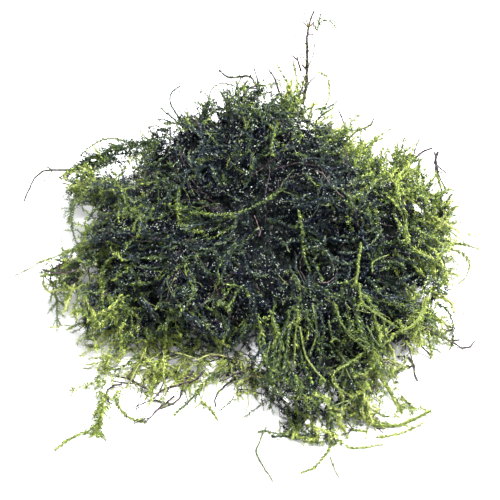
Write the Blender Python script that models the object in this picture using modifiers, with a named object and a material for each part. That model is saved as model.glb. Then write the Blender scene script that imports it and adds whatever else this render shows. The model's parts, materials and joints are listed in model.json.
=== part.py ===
"""A wet clump of trailing aquatic moss at rest on a flat surface, for Blender 4.5.

+Z is up and the clump is seen from -Y. The origin is on the surface, under the middle of the clump.
Sizes and routes are written in millimetres; lengths are turned into metres where a mesh is made.
"""
import math
import random

import bmesh
import bpy
from mathutils import Matrix, Vector, noise
from mathutils.bvhtree import BVHTree

MM = 0.001
GAP = 0.3
"""Air left between two pieces that touch, in millimetres."""

# Driving sizes of the matted body
VOXEL = 1.2
"""Grain at which the swellings and locks grow together into one skin."""
THIN_OUT = 0.13
"""Share of the fused skin's faces that the body keeps."""
LOCK_COUNT = 54
LOCK_LENGTH = (14.0, 28.0)
LOCK_RADIUS = (2.3, 3.4)
LOCK_TIP_SHARE = 0.55
LOCK_STEP = 1.7
LOCK_TRIES = 12
RUFFLE_DEPTH = 0.9
RUFFLE_SIZE = 7.0
SEED = 21

# Driving sizes of the loose shoots, as radii
THIN, SHOOT, LEAFY, BUNDLE = 0.4, 0.6, 0.8, 1.3
TIP_SHARE = 0.5
RING_SPACING = 3.6
BEAD_SPACING = 0.4
MOST_PUSH = 1.5
CLEAR_PASSES = 25
LYING_HEIGHT = 1.3
"""A shoot lies on the surface wherever its route is lower than this."""

# The swellings of the body: centre, then half widths
LOBES = {
    "crown": ((5, 24, 9), (30, 29, 25)),
    "left_shoulder": ((-24, 13, 12), (21, 20, 14)),
    "upper_left": ((-12, 32, 13), (18, 18, 16)),
    "right_shoulder": ((34, 16, 9), (18, 20, 15)),
    "right_rim": ((46, 7, 8), (9, 13, 7)),
    "front_belly": ((-9, -2, 8), (30, 16, 17)),
    "front_right": ((24, -11, 6), (20, 14, 14)),
    "tongue": ((12, -32, 3), (8, 11, 7)),
    "tongue_right": ((23, -30, 3), (9, 11, 7)),
    "lower_right": ((37, -16, 5), (9, 7, 5)),
    "left_tuft": ((-44, -2, 12), (7, 5, 4)),
    "front_left_edge": ((-33, -8, 8), (10, 8, 5)),
    "upper_left_tuft": ((-40, 31, 12), (8, 6, 4)),
}

# Dark hollows pressed into the skin: centre, reach, depth
HOLLOWS = {
    "crown_hollow": ((-6, 20, 32), 8, 7),
    "right_hollow": ((22, -4, 22), 8, 8),
    "left_hollow": ((-28, 18, 24), 7, 4),
    "left_pocket": ((-42, -1, 18), 5, 4),
    "right_pocket": ((38, -9, 14), 6, 4),
    "tongue_root_hollow": ((20, -24, 11), 5, 4),
}

# Locks that hang or lie at a known place: from, to, radius at the root
PLACED_LOCKS = (
    ((4, -16, 13), (6, -38, 3), 2.2),
    ((8, -18, 14), (9, -43, 2), 2.3),
    ((12, -20, 14), (13, -46, 2), 2.3),
    ((17, -20, 13), (17, -47, 2), 2.4),
    ((22, -20, 12), (21, -46, 2), 2.3),
    ((27, -20, 11), (26, -44, 2), 2.2),
    ((30, -20, 10), (30, -40, 2), 2.0),
    ((-28, -12, 6), (-43, -20, 2), 1.9),
    ((-26, -14, 5), (-42, -24, 1), 1.9),
    ((-24, -15, 4), (-34, -28, 1), 1.8),
    ((-22, -15, 4), (-27, -36, 1), 1.9),
    ((-16, -16, 4), (-19, -29, 1), 1.8),
    ((-11, -17, 4), (-14, -30, 1), 1.8),
    ((-6, -18, 4), (-4, -36, 1), 1.8),
    ((-2, -18, 5), (0, -32, 2), 1.8),
    ((-20, -24, 2), (-31, -25, 1), 1.6),
    ((-18, -27, 1), (-8, -29, 1), 1.6),
    ((38, -12, 5), (44, -16, 3), 1.8),
    ((42, -6, 6), (53, -12, 3), 1.8),
    ((36, -18, 4), (38, -30, 2), 1.8),
    ((28, -26, 3), (36, -38, 1), 1.8),
    ((25, -34, 3), (33, -43, 1), 1.7),
    ((50, 4, 7), (57, 3, 5), 1.8),
    ((48, 16, 9), (55, 21, 8), 1.8),
    ((44, 24, 9), (50, 31, 9), 1.8),
    ((-40, 4, 13), (-49, 2, 13), 1.8),
    ((-40, 28, 13), (-47, 24, 13), 1.8),
    ((-40, 18, 14), (-46, 14, 15), 1.8),
    ((-26, 41, 15), (-51, 36, 13), 2.6),
    ((-44, -3, 11), (-50, -6, 8), 1.7),
    ((-16, 44, 22), (-9, 53, 22), 2.0),
    ((-4, 47, 24), (2, 53, 25), 2.0),
)

# The loose shoots and stems: finish, radius, route from the root to the tip
STRANDS = {
    "tall_sprig": (
        "green", LEAFY,
        [(15, 51, 24), (16, 55, 31), (16, 57, 38), (16, 60, 45), (18, 63, 50)],
    ),
    "tall_sprig_twig": ("brown", THIN, [(15, 56, 33), (13, 58, 36), (11, 59, 37)]),
    "tall_sprig_arm": ("pale", SHOOT, [(17, 60, 45), (20, 62, 47), (22, 62, 47), (24, 61, 44)]),
    "back_pale_shoot_left": ("pale", LEAFY, [(12, 50, 25), (11, 54, 29), (9, 56, 32), (7, 58, 34)]),
    "back_pale_shoot_right": (
        "pale", LEAFY,
        [(14, 50, 26), (13, 54, 30), (13, 56, 33), (12, 58, 35)],
    ),
    "back_dark_stem": ("brown", THIN, [(10, 49, 25), (8, 51, 30), (7, 53, 33), (5, 54, 36)]),
    "back_hooked_shoot": (
        "pale", SHOOT,
        [(20, 50, 22), (22, 53, 25), (22, 55, 30), (21, 56, 32), (19, 57, 32)],
    ),
    "back_bent_shoot": ("green", SHOOT, [(18, 50, 22), (21, 50, 24), (24, 50, 25), (25, 51, 27)]),
    "back_right_curl": ("brown", THIN, [(28, 45, 18), (31, 47, 19), (33, 46, 20), (35, 48, 23)]),
    "back_right_pale_shoot": ("pale", LEAFY, [(34, 44, 15), (37, 47, 17), (40, 48, 18)]),
    "top_left_wave": (
        "green", SHOOT,
        [(3, 53, 26), (1, 56, 30), (-2, 57, 31), (-5, 57, 29), (-9, 59, 31)],
    ),
    "top_dark_twig": ("brown", THIN, [(-7, 51, 24), (-5, 53, 26), (-3, 53, 28), (-1, 55, 30)]),
    "upper_left_hook": (
        "brown", THIN,
        [(-19, 52, 15), (-21, 55, 17), (-23, 58, 19), (-22, 61, 20), (-20, 63, 20)],
    ),
    "upper_left_arc": (
        "green", SHOOT,
        [(-27, 48, 14), (-31, 45, 14), (-37, 45, 17), (-43, 44, 17), (-48, 40, 15)],
    ),
    "upper_left_long_shoot": (
        "brown", THIN,
        [(-50, 36, 14), (-54, 36, 14), (-59, 36, 13), (-62, 34, 9), (-64, 32, 5)],
    ),
    "left_edge_stem": ("green", SHOOT, [(-48, 27, 15), (-49, 18, 17), (-48, 10, 17), (-46, 4, 17)]),
    "left_long_shoot": (
        "pale", SHOOT,
        [(-47, 6, 16), (-53, 6, 12), (-58, 7, 8), (-61, 8, 4), (-65, 9, 1)],
    ),
    "left_brown_stem": ("brown", SHOOT, [(-47, -1, 15), (-51, -1, 15), (-56, 0, 14)]),
    "left_dangling_tuft": (
        "green", LEAFY,
        [(-54, -1, 14), (-53, -4, 12), (-52, -7, 9), (-52, -10, 6), (-52, -13, 3)],
    ),
    "right_upper_shoot": ("green", SHOOT, [(44, 35, 12), (43, 38, 15), (42, 40, 17), (41, 41, 18)]),
    "brown_twig_arch": ("brown", THIN, [(44, 37, 13), (46, 39, 15), (48, 41, 16), (52, 43, 16)]),
    "brown_twig_drop": ("brown", THIN, [(53, 42, 15), (52, 39, 13), (53, 36, 11), (54, 32, 9)]),
    "right_rim_hook": ("green", THIN, [(52, 30, 10), (55, 27, 10), (56, 24, 8), (58, 25, 7)]),
    "right_edge_shoot": ("pale", SHOOT, [(55, 14, 8), (59, 15, 7), (61, 15, 6), (64, 15, 4)]),
    "right_loop": ("pale", SHOOT, [(56, 12, 8), (60, 10, 7), (60, 6, 5), (57, 3, 4)]),
    "right_lower_arc": (
        "green", SHOOT,
        [(50, -4, 6), (53, -6, 5), (55, -9, 3), (55, -13, 1), (54, -17, 1)],
    ),
    "right_low_dark_stem": (
        "brown", THIN,
        [(50, -13, 1), (55, -15, 1), (58, -17, 1), (61, -14, 1)],
    ),
    "lower_right_thin_stem": (
        "brown", THIN,
        [(42, -19, 2), (44, -22, 1), (44, -25, 1), (45, -28, 1)],
    ),
    "lower_right_spur": ("pale", LEAFY, [(38, -27, 3), (40, -25, 2), (43, -22, 1)]),
    "lower_right_pale_trunk": (
        "pale", BUNDLE,
        [(37, -24, 4), (38, -29, 2), (38, -33, 1), (40, -38, 1)],
    ),
    "lower_right_pale_fork": ("pale", SHOOT, [(40, -32, 1), (42, -35, 1), (44, -37, 1)]),
    "lower_right_long_shoot": (
        "pale", LEAFY,
        [(33, -43, 1), (39, -42, 1), (43, -40, 1), (48, -37, 1)],
    ),
    "lower_right_outer_shoot": ("pale", SHOOT, [(33, -46, 1), (41, -44, 1), (46, -41, 1)]),
    "bottom_pale_sweep": ("pale", LEAFY, [(24, -44, 2), (28, -44, 1), (31, -44, 1)]),
    "bottom_pale_arc": ("pale", SHOOT, [(22, -47, 1), (26, -49, 1), (30, -49, 1), (35, -48, 1)]),
    "bottom_shoot": (
        "green", SHOOT,
        [(21, -46, 2), (21, -49, 1), (19, -52, 1), (17, -55, 1), (13, -57, 1)],
    ),
    "bottom_right_fork": ("pale", THIN, [(21, -52, 1), (22, -56, 1), (24, -60, 1)]),
    "bottom_thin_shoot": (
        "pale", THIN,
        [(4, -44, 2), (2, -49, 1), (2, -52, 1), (4, -56, 1), (6, -60, 1)],
    ),
    "bottom_dark_sprig": ("green", LEAFY, [(10, -43, 2), (7, -44, 1), (2, -44, 1)]),
    "front_dark_stem": ("brown", THIN, [(-4, -29, 3), (-7, -30, 2), (-9, -32, 1), (-9, -36, 1)]),
    "front_long_stem": ("green", THIN, [(-6, -27, 5), (-11, -29, 3), (-15, -33, 1), (-20, -39, 1)]),
    "front_pale_fork": ("pale", SHOOT, [(-13, -34, 1), (-11, -36, 1), (-8, -41, 1)]),
    "front_dark_arc": (
        "brown", THIN,
        [(-16, -26, 4), (-18, -30, 1), (-18, -33, 1), (-20, -35, 1), (-26, -34, 1)],
    ),
    "front_dark_crossing": (
        "brown", THIN,
        [(-14, -26, 4), (-17, -28, 4), (-20, -30, 2), (-24, -31, 1)],
    ),
    "front_left_pale_arc": (
        "pale", SHOOT,
        [(-36, -32, 1), (-34, -37, 1), (-31, -40, 1), (-27, -41, 1)],
    ),
    "front_left_thin_stem": (
        "brown", THIN,
        [(-26, -31, 1), (-29, -30, 2), (-32, -28, 2), (-36, -27, 2)],
    ),
    "front_left_dark_shoot": (
        "green", SHOOT,
        [(-30, -22, 5), (-33, -25, 4), (-36, -25, 2), (-41, -24, 1)],
    ),
    "front_left_leafy_arm": ("pale", LEAFY, [(-38, -29, 2), (-43, -30, 2), (-48, -31, 1)]),
    "front_left_tuft": (
        "pale", BUNDLE,
        [(-40, -32, 2), (-39, -38, 2), (-40, -42, 1), (-40, -46, 1)],
    ),
    "front_left_tail": (
        "pale", SHOOT,
        [(-42, -44, 1), (-45, -45, 1), (-48, -47, 1), (-51, -50, 1)],
    ),
    "across_left": (
        "green", LEAFY,
        [(-22, 10, 29), (-16, 10, 26), (-9, 8, 27), (-3, 7, 29), (3, 8, 32), (9, 11, 34)],
    ),
    "across_middle": ("green", LEAFY, [(13, 7, 33), (14, 3, 26), (14, 1, 21), (16, -3, 17)]),
    "across_top": ("green", SHOOT, [(7, 34, 35), (6, 28, 35), (6, 22, 35)]),
    "right_pale_shoot": (
        "pale", LEAFY,
        [(30, 3, 21), (29, -4, 18), (28, -10, 19), (29, -18, 23), (33, -21, 21), (39, -20, 14)],
    ),
    "right_pale_branch": ("pale", SHOOT, [(30, -3, 18), (33, -2, 19), (37, 0, 20)]),
    "right_pale_bundle": (
        "pale", BUNDLE,
        [(48, -9, 12), (45, -17, 14), (42, -21, 15), (39, -21, 13), (36, -23, 11)],
    ),
    "front_hollow_shoot": (
        "pale", SHOOT,
        [(30, -29, 15), (27, -30, 13), (24, -34, 15), (21, -35, 13), (23, -38, 11), (28, -40, 10)],
    ),
}

# Colour and roughness of each finish
FINISHES = {
    "moss": ((0.020, 0.045, 0.012, 1), 0.45),
    "green": ((0.060, 0.130, 0.020, 1), 0.40),
    "pale": ((0.300, 0.400, 0.090, 1), 0.40),
    "brown": ((0.060, 0.040, 0.020, 1), 0.50),
}


def clear_scene():
    for thing in list(bpy.data.objects):
        bpy.data.objects.remove(thing)


def make_material(name):
    colour, roughness = FINISHES[name]
    material = bpy.data.materials.new(name)
    material.use_nodes = True
    shader = material.node_tree.nodes["Principled BSDF"]
    shader.inputs["Base Color"].default_value = colour
    shader.inputs["Roughness"].default_value = roughness
    return material


def make_collection(name):
    collection = bpy.data.collections.new(name)
    bpy.context.scene.collection.children.link(collection)
    return collection


def link_object(name, data, collection):
    thing = bpy.data.objects.new(name, data)
    collection.objects.link(thing)
    return thing


def add_ball(form, centre, radii, detail):
    """Adds one closed ball, in millimetres, to a bmesh that is in metres."""
    place = Matrix.Translation(Vector(centre) * MM) @ Matrix.Diagonal((*(Vector(radii) * MM), 1))
    bmesh.ops.create_icosphere(form, subdivisions=detail, radius=1, matrix=place)


def outer_point(tree, aim, direction):
    """The first point of the body, and its normal there, met by a line that comes in from outside."""
    start = aim + direction * 200 * MM
    place, normal, _, _ = tree.ray_cast(start, -direction)
    return place, normal


def random_outer_point(tree, rng):
    """A point on the upper or outer skin of the body, aimed at from a direction above the surface."""
    while True:
        centre, radii = rng.choice(list(LOBES.values()))
        aim = Vector([c + rng.uniform(-0.8, 0.8) * r for c, r in zip(centre, radii)]) * MM
        turn = rng.uniform(0, math.tau)
        rise = rng.uniform(0.1, 1)
        flat = math.sqrt(1 - rise * rise)
        direction = Vector((math.cos(turn) * flat, math.sin(turn) * flat, rise))
        place, normal = outer_point(tree, aim, direction)
        if place is not None and place.z > 3 * MM:
            return place, normal


def add_chain(form, places, root_radius):
    """A run of overlapping balls that gets thinner along its length: one lock of moss."""
    last = max(len(places) - 1, 1)
    for index, place in enumerate(places):
        radius = root_radius * (1 + (LOCK_TIP_SHARE - 1) * index / last)
        centre = place / MM
        centre.z = max(centre.z, 0.4 * radius)
        add_ball(form, centre, (radius, radius, radius), 1)


def barest_point(tree, rng, covered):
    """Of several points of the skin, the one that lies farthest from the locks already there."""
    best, room = None, -1
    for _ in range(LOCK_TRIES):
        place, normal = random_outer_point(tree, rng)
        nearest = min(((place - other).length for other in covered), default=1)
        if nearest > room:
            best, room = (place, normal), nearest
    return best


def add_lock(form, tree, rng, covered):
    """A lock that wanders over the skin, mostly outwards and downhill, and lifts off it at its tip."""
    place, normal = barest_point(tree, rng, covered)
    outwards = Vector((place.x, place.y - 0.014, 0)).normalized()
    heading = outwards + Vector([rng.uniform(-1.1, 1.1) for _ in range(3)])
    bend = rng.uniform(-0.12, 0.12)
    radius = rng.uniform(*LOCK_RADIUS)
    steps = round(rng.uniform(*LOCK_LENGTH) / LOCK_STEP)
    places = []
    for step in range(steps):
        lift = radius * (0.5 + 1.0 * (step / steps) ** 3) * MM
        places.append(place + normal * lift)
        heading = Matrix.Rotation(bend, 3, normal) @ heading
        heading += Vector([rng.uniform(-0.25, 0.25) for _ in range(3)])
        heading -= normal * heading.dot(normal)
        heading.normalize()
        near, new_normal = outer_point(tree, place + heading * LOCK_STEP * MM, normal)
        if near is None or near.z < 0 or (near - place).length > 3 * LOCK_STEP * MM:
            break
        place, normal = near, new_normal
    covered += places
    add_chain(form, places, radius)


def add_placed_lock(form, start, end, radius, rng):
    """A lock that arches from one given point to another, with a small sideways wander."""
    start, end = Vector(start), Vector(end)
    steps = round((end - start).length / LOCK_STEP)
    side = (end - start).cross(Vector((0, 0, 1))).normalized() * rng.uniform(-1.5, 1.5)
    places = []
    for step in range(steps + 1):
        share = step / steps
        arch = Vector((0, 0, math.sin(math.pi * share)))
        place = start.lerp(end, share) + side * math.sin(math.tau * share) + arch
        places.append(place * MM)
    add_chain(form, places, radius)


def ruffle(form):
    """Gives the skin between the locks an uneven surface."""
    form.normal_update()
    for vertex in form.verts:
        broad = noise.noise(vertex.co / (RUFFLE_SIZE * MM))
        fine = noise.noise(vertex.co / (0.5 * RUFFLE_SIZE * MM))
        vertex.co += vertex.normal * (broad + 0.5 * fine) * RUFFLE_DEPTH * MM


def press_hollows(form):
    """Pushes the skin inwards around each hollow's centre, most in its middle."""
    form.normal_update()
    shifts = []
    for vertex in form.verts:
        shift = Vector()
        for centre, reach, depth in HOLLOWS.values():
            distance = (vertex.co - Vector(centre) * MM).length / (reach * MM)
            shift -= vertex.normal * depth * MM * math.exp(-distance * distance)
        shifts.append(shift)
    for vertex, shift in zip(form.verts, shifts):
        vertex.co += shift


def keep_largest_island(form):
    """Deletes the crumbs that thinning out leaves beside the body."""
    left = set(form.verts)
    islands = []
    while left:
        island = set()
        front = [left.pop()]
        while front:
            vertex = front.pop()
            island.add(vertex)
            for edge in vertex.link_edges:
                other = edge.other_vert(vertex)
                if other in left:
                    left.discard(other)
                    front.append(other)
        islands.append(island)
    islands.sort(key=len)
    crumbs = [vertex for island in islands[:-1] for vertex in island]
    bmesh.ops.delete(form, geom=crumbs, context="VERTS")


def evaluated_mesh(thing):
    """A new mesh of an object as its modifiers leave it."""
    bpy.context.view_layer.update()
    seen = thing.evaluated_get(bpy.context.evaluated_depsgraph_get())
    return bpy.data.meshes.new_from_object(seen)


def add_surface_cutter(collection):
    """The block under the resting surface, which cuts the body's underside flat."""
    form = bmesh.new()
    bmesh.ops.create_cube(form, size=1, matrix=Matrix.Diagonal((0.3, 0.3, 0.1, 1)))
    mesh = bpy.data.meshes.new("surface_cutter")
    form.to_mesh(mesh)
    form.free()
    cutter = link_object("surface_cutter", mesh, collection)
    cutter.location = (0, 0, -0.05)
    cutter.hide_render = True
    cutter.display_type = "WIRE"
    return cutter


def make_mat(parts, cutters, material):
    """The matted body: swellings and locks grown together, thinned out, hollowed and cut flat below."""
    rng = random.Random(SEED)
    form = bmesh.new()
    for centre, radii in LOBES.values():
        add_ball(form, centre, radii, 4)
    tree = BVHTree.FromBMesh(form)
    covered = []
    for _ in range(LOCK_COUNT):
        add_lock(form, tree, rng, covered)
    for start, end, radius in PLACED_LOCKS:
        add_placed_lock(form, start, end, radius, rng)
    mesh = bpy.data.meshes.new("grown_together")
    form.to_mesh(mesh)
    form.free()
    lumps = link_object("grown_together", mesh, cutters)
    fuse = lumps.modifiers.new("grow_together", "REMESH")
    fuse.mode = "VOXEL"
    fuse.voxel_size = VOXEL * MM
    thin = lumps.modifiers.new("thin_out", "DECIMATE")
    thin.ratio = THIN_OUT
    skin = bmesh.new()
    skin.from_mesh(evaluated_mesh(lumps))
    bpy.data.objects.remove(lumps)
    press_hollows(skin)
    ruffle(skin)
    keep_largest_island(skin)
    mesh = bpy.data.meshes.new("moss_mat")
    skin.to_mesh(mesh)
    skin.free()
    mat = link_object("moss_mat", mesh, parts)
    mat.data.materials.append(material)
    rest = mat.modifiers.new("rest_flat", "BOOLEAN")
    rest.object = add_surface_cutter(cutters)
    rest.operation = "DIFFERENCE"
    rest.solver = "EXACT"
    return mat


def smooth_route(points, spacing):
    """Evenly spaced points along one smooth curve that passes through all the given ones."""
    knots = [Vector(point) for point in points]
    ends = [2 * knots[0] - knots[1]] + knots + [2 * knots[-1] - knots[-2]]
    fine = []
    for before, start, end, after in zip(ends, ends[1:], ends[2:], ends[3:]):
        for part in range(12):
            t = part / 12
            fine.append(0.5 * (2 * start + (end - before) * t
                               + (2 * before - 5 * start + 4 * end - after) * t * t
                               + (3 * start - before - 3 * end + after) * t ** 3))
    fine.append(knots[-1])
    lengths = [0.0]
    for start, end in zip(fine, fine[1:]):
        lengths.append(lengths[-1] + (end - start).length)
    count = max(2, round(lengths[-1] / spacing))
    route = []
    index = 0
    for step in range(count + 1):
        wanted = lengths[-1] * step / count
        while index < len(fine) - 2 and lengths[index + 1] < wanted:
            index += 1
        stretch = lengths[index + 1] - lengths[index]
        route.append(fine[index].lerp(fine[index + 1], (wanted - lengths[index]) / stretch))
    return route


def is_inside(tree, place):
    """Whether a place is inside a closed skin: a line up from it crosses an odd number of faces."""
    crossings = 0
    hit, _, _, _ = tree.ray_cast(place, Vector((0, 0, 1)))
    while hit is not None:
        crossings += 1
        hit, _, _, _ = tree.ray_cast(hit + Vector((0, 0, 0.001 * MM)), Vector((0, 0, 1)))
    return crossings % 2 == 1


def push_from_body(place, radius, tree):
    """How far a shoot of this radius has to move here to lie just outside the body."""
    near, normal, _, distance = tree.find_nearest(place * MM)
    near /= MM
    distance /= MM
    if is_inside(tree, place * MM):
        return normal * min(distance + radius + GAP, MOST_PUSH)
    if distance < radius + GAP:
        return (place - near).normalized() * (radius + GAP - distance)
    return Vector()


def push_from_shoots(place, radius, laid):
    """How far a shoot of this radius has to move here to pass beside the shoots already laid."""
    push = Vector()
    for other, other_radius in laid:
        apart = place - other
        lack = radius + other_radius + GAP - apart.length
        if lack > 0:
            push += (apart.normalized() if apart.length > 0 else Vector((0, 0, 1))) * lack
    return push


def keep_clear(route, radii, tree, laid):
    """Moves a route until no stretch of it touches the resting surface, the body or a laid shoot."""
    for _ in range(CLEAR_PASSES):
        for index in range(len(route) - 1):
            for share in (0, 0.25, 0.5, 0.75, 1):
                place = route[index].lerp(route[index + 1], share)
                radius = radii[index] * (1 - share) + radii[index + 1] * share
                push = push_from_body(place, radius, tree) + push_from_shoots(place, radius, laid)
                push.z += max(0, radius - place.z)
                route[index] += push * (1 - share)
                route[index + 1] += push * share
    for place, radius in zip(route, radii):
        place.z = max(place.z, radius)


def beads_of(route, radii):
    """Places close together along a route, each with its radius there."""
    beads = []
    for index in range(len(route) - 1):
        steps = max(1, math.ceil((route[index + 1] - route[index]).length / BEAD_SPACING))
        for step in range(steps + 1):
            share = step / steps
            radius = radii[index] * (1 - share) + radii[index + 1] * share
            beads.append((route[index].lerp(route[index + 1], share), radius))
    return beads


def rooted(points, radius, tree):
    """The points of a route with the first one moved to the nearest skin of the body, less the gap."""
    near, normal, _, _ = tree.find_nearest(Vector(points[0]) * MM)
    return [near / MM + normal * (radius + GAP)] + points[1:]


def make_strand(name, parts, material, radius, route, radii):
    curve = bpy.data.curves.new(name, "CURVE")
    curve.dimensions = "3D"
    curve.bevel_depth = MM
    curve.bevel_resolution = 0 if radius <= THIN else 1
    curve.use_fill_caps = True
    spline = curve.splines.new("POLY")
    spline.points.add(len(route) - 1)
    for point, place, size in zip(spline.points, route, radii):
        point.co = (*(place * MM), 1)
        point.radius = size
    curve.materials.append(material)
    return link_object(name, curve, parts)


def tree_of(thing):
    mesh = evaluated_mesh(thing)
    form = bmesh.new()
    form.from_mesh(mesh)
    tree = BVHTree.FromBMesh(form)
    form.free()
    return tree


BRANCHES = {
    "tall_sprig_twig", "tall_sprig_arm", "brown_twig_drop", "lower_right_spur", "lower_right_pale_fork",
    "bottom_right_fork", "front_pale_fork", "front_left_thin_stem", "front_left_pale_arc",
    "front_left_leafy_arm", "front_left_tuft", "front_left_tail", "right_pale_branch",
    "lower_right_outer_shoot", "left_dangling_tuft",
}
"""Shoots that spring from another shoot, and so keep the root that their route gives."""


def main():
    clear_scene()
    parts = make_collection("moss_clump")
    cutters = make_collection("cutters")
    materials = {name: make_material(name) for name in FINISHES}
    mat = make_mat(parts, cutters, materials["moss"])
    tree = tree_of(mat)
    laid = []
    for name, (finish, radius, points) in STRANDS.items():
        if name not in BRANCHES:
            points = rooted(points, radius, tree)
        route = smooth_route(points, RING_SPACING)
        last = len(route) - 1
        radii = [radius * (1 + (TIP_SHARE - 1) * index / last) for index in range(last + 1)]
        for place, size in zip(route, radii):
            if place.z < LYING_HEIGHT:
                place.z = size
        keep_clear(route, radii, tree, laid)
        laid += beads_of(route, radii)
        make_strand(name, parts, materials[finish], radius, route, radii)


main()
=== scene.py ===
"""Looks of a wet clump of trailing water moss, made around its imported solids, for Blender 4.5.

The file is laid out as an add-on and is run as a script. Shoots are worked out in millimetres and
turned into metres where a mesh is made. +Z is up and the clump is seen from -Y.
"""
import json
import math
import random

import bmesh
import bpy
import numpy as np
from bpy.props import FloatProperty, FloatVectorProperty, IntProperty, PointerProperty
from mathutils import Matrix, Vector, noise
from mathutils.bvhtree import BVHTree


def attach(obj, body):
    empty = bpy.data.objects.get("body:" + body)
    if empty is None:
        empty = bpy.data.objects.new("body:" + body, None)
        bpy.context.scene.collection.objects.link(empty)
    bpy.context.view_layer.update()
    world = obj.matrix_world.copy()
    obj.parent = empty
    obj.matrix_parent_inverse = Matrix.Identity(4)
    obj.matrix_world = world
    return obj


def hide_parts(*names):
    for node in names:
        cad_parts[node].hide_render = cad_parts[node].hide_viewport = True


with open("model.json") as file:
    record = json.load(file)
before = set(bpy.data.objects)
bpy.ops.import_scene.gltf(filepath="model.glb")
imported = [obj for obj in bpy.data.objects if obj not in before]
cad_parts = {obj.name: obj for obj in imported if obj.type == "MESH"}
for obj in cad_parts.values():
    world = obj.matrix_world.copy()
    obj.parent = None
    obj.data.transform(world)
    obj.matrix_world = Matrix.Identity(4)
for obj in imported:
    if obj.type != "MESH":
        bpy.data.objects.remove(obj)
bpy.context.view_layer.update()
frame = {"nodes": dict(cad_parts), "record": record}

bl_info = {
    "name": "Moss Clump",
    "version": (1, 0, 0),
    "blender": (4, 5, 0),
    "location": "3D View > Sidebar > Moss",
    "description": "Grows leafy shoots, stray stems and a stage for a wet clump of trailing moss",
    "category": "Add Mesh",
}

# Without a seed the swirls of the moss would differ from run to run
noise.seed_set(4)

MM = 0.001
COLOUR_MAP = "OFBake"
MAT = "moss_mat"

# Across the colour map: greens from dark to pale up to GREEN_END, then brown and tan stems, then glints
GREEN_END = 0.76
BROWN_TONE = 0.82
TAN_TONE = 0.89
GLINT_TONE = 0.96
# Up the colour map: yellowish leaves, bluish leaves from COOL_BAND on, stems from STEM_BAND on
COOL_BAND = 0.38
STEM_BAND = 0.78
# How wide a leaf or a stem is on the colour map
MAP_WIDTH = 0.016
# Added to the place of a glinting leaf on the colour map, until its mesh is made
GLINT_MARK = 5.0

# Heights in millimetres: leaves are pressed flat below the first, and stems stay above the others
FLOOR_SKIN = 0.3
LOWEST_SHOOT = 0.4
LOWEST_STRAND = 0.5

# The clump seen from above, in millimetres: the middle that shoots flow away from, the oval of its edge
FLOW_MIDDLE_Y = 12
EDGE_MIDDLE_Y = 14
EDGE_HALF_WIDTH = 58
EDGE_HALF_DEPTH = 52
ABOVE_ALL = 60
# Width in millimetres and strength of the swirls in the moss
SWIRL_WIDTH = 13
SWIRL = 1.7
# Depth in millimetres of the root of a shoot that sticks out, under the skin
ROOT_DEPTH = 2.6
# Share by which a growing shoot is drawn back to its own depth at each joint
HOLD = 0.45

# Parts of the body that are meshes of their own: the middle of each, in millimetres
BODY_PARTS = {
    "crown_moss": (4, 44, 20),
    "upper_left_moss": (-30, 34, 14),
    "left_moss": (-40, 6, 12),
    "middle_moss": (0, 16, 26),
    "right_moss": (40, 24, 12),
    "front_moss": (-14, -8, 12),
    "front_right_moss": (32, -6, 12),
    "tongue_moss": (14, -32, 8),
    "front_left_fringe": (-26, -28, 2),
    "lower_right_fringe": (40, -30, 2),
}

# Patches that are paler or darker than the rest: middle, reach, change of tone
PATCHES = (
    ((8, 48, 28), 12, 0.05),
    ((22, 45, 23), 13, 0.23),
    ((40, 32, 16), 15, 0.19),
    ((41, 18, 26), 8, 0.16),
    ((53, 14, 8), 12, 0.18),
    ((50, -6, 6), 12, 0.18),
    ((-44, 28, 14), 12, 0.16),
    ((-52, 0, 12), 9, 0.20),
    ((-37, -18, 3), 9, 0.34),
    ((-24, -22, 2), 8, 0.26),
    ((-10, -25, 3), 8, 0.22),
    ((14, -34, 8), 12, -0.08),
    ((26, -42, 2), 8, 0.08),
    ((40, -28, 2), 11, 0.20),
    ((6, 26, 32), 12, -0.04),
    # A painted shade in the hollow right of the middle
    ((26, 2, 22), 10, -0.12),
    ((35, -8, 14), 9, -0.10),
    ((8, 0, 22), 14, -0.06),
    ((-16, -6, 22), 16, -0.08),
    ((-14, -16, 8), 10, -0.05),
    ((22, -22, 12), 8, -0.08),
)

# Loose patches, where light comes through the moss: middle, reach
LOOSE = (
    ((20, 46, 22), 6),
    ((27, 35, 27), 6),
    ((38, 26, 20), 5),
    ((46, 30, 14), 6),
    ((-25, 40, 27), 6),
    ((-20, 46, 27), 5),
    ((-46, 18, 16), 4),
    ((-52, 28, 13), 5),
    ((-50, 22, 15), 4),
    ((-53, -3, 17), 5),
    ((57, 4, 8), 6),
    ((-1, -38, 3), 6),
    ((-42, -22, 2), 5),
    ((-29, -30, 1), 6),
    ((-15, -31, 3), 6),
    ((43, -30, 5), 6),
    ((36, -31, 4), 3),
    ((43, -24, 6), 6),
    ((4, -41, 4), 5),
)

# Where loose shoots stand up most: middle, reach, share of them
FLUFFY = (
    ((-8, 47, 28), 5, 1.0),
    ((-2, 49, 28), 5, 2.0),
    ((4, 50, 28), 5, 4.0),
    ((9, 50, 27), 5, 4.0),
    ((15, 49, 25), 5, 1.0),
    ((31, 41, 21), 6, 2.0),
    ((35, 38, 20), 7, 4.0),
    ((41, 34, 16), 6, 2.0),
    ((50, 22, 17), 7, 0.8),
    ((53, 16, 14), 6, 0.8),
    ((58, 18, 8), 6, 0.8),
    ((-46, 26, 12), 6, 0.8),
)

# The two see-through fringes along the front: lowest corner, highest corner
FRINGES = (
    ((-48, -46, -1), (1, -21, 12)),
    ((30, -50, -1), (60, -17, 12)),
)
# Where the fringes start to thin out, and where they are thinnest
FRINGE_THINS_Y = -24
FRINGE_THIN_Y = -30

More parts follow.
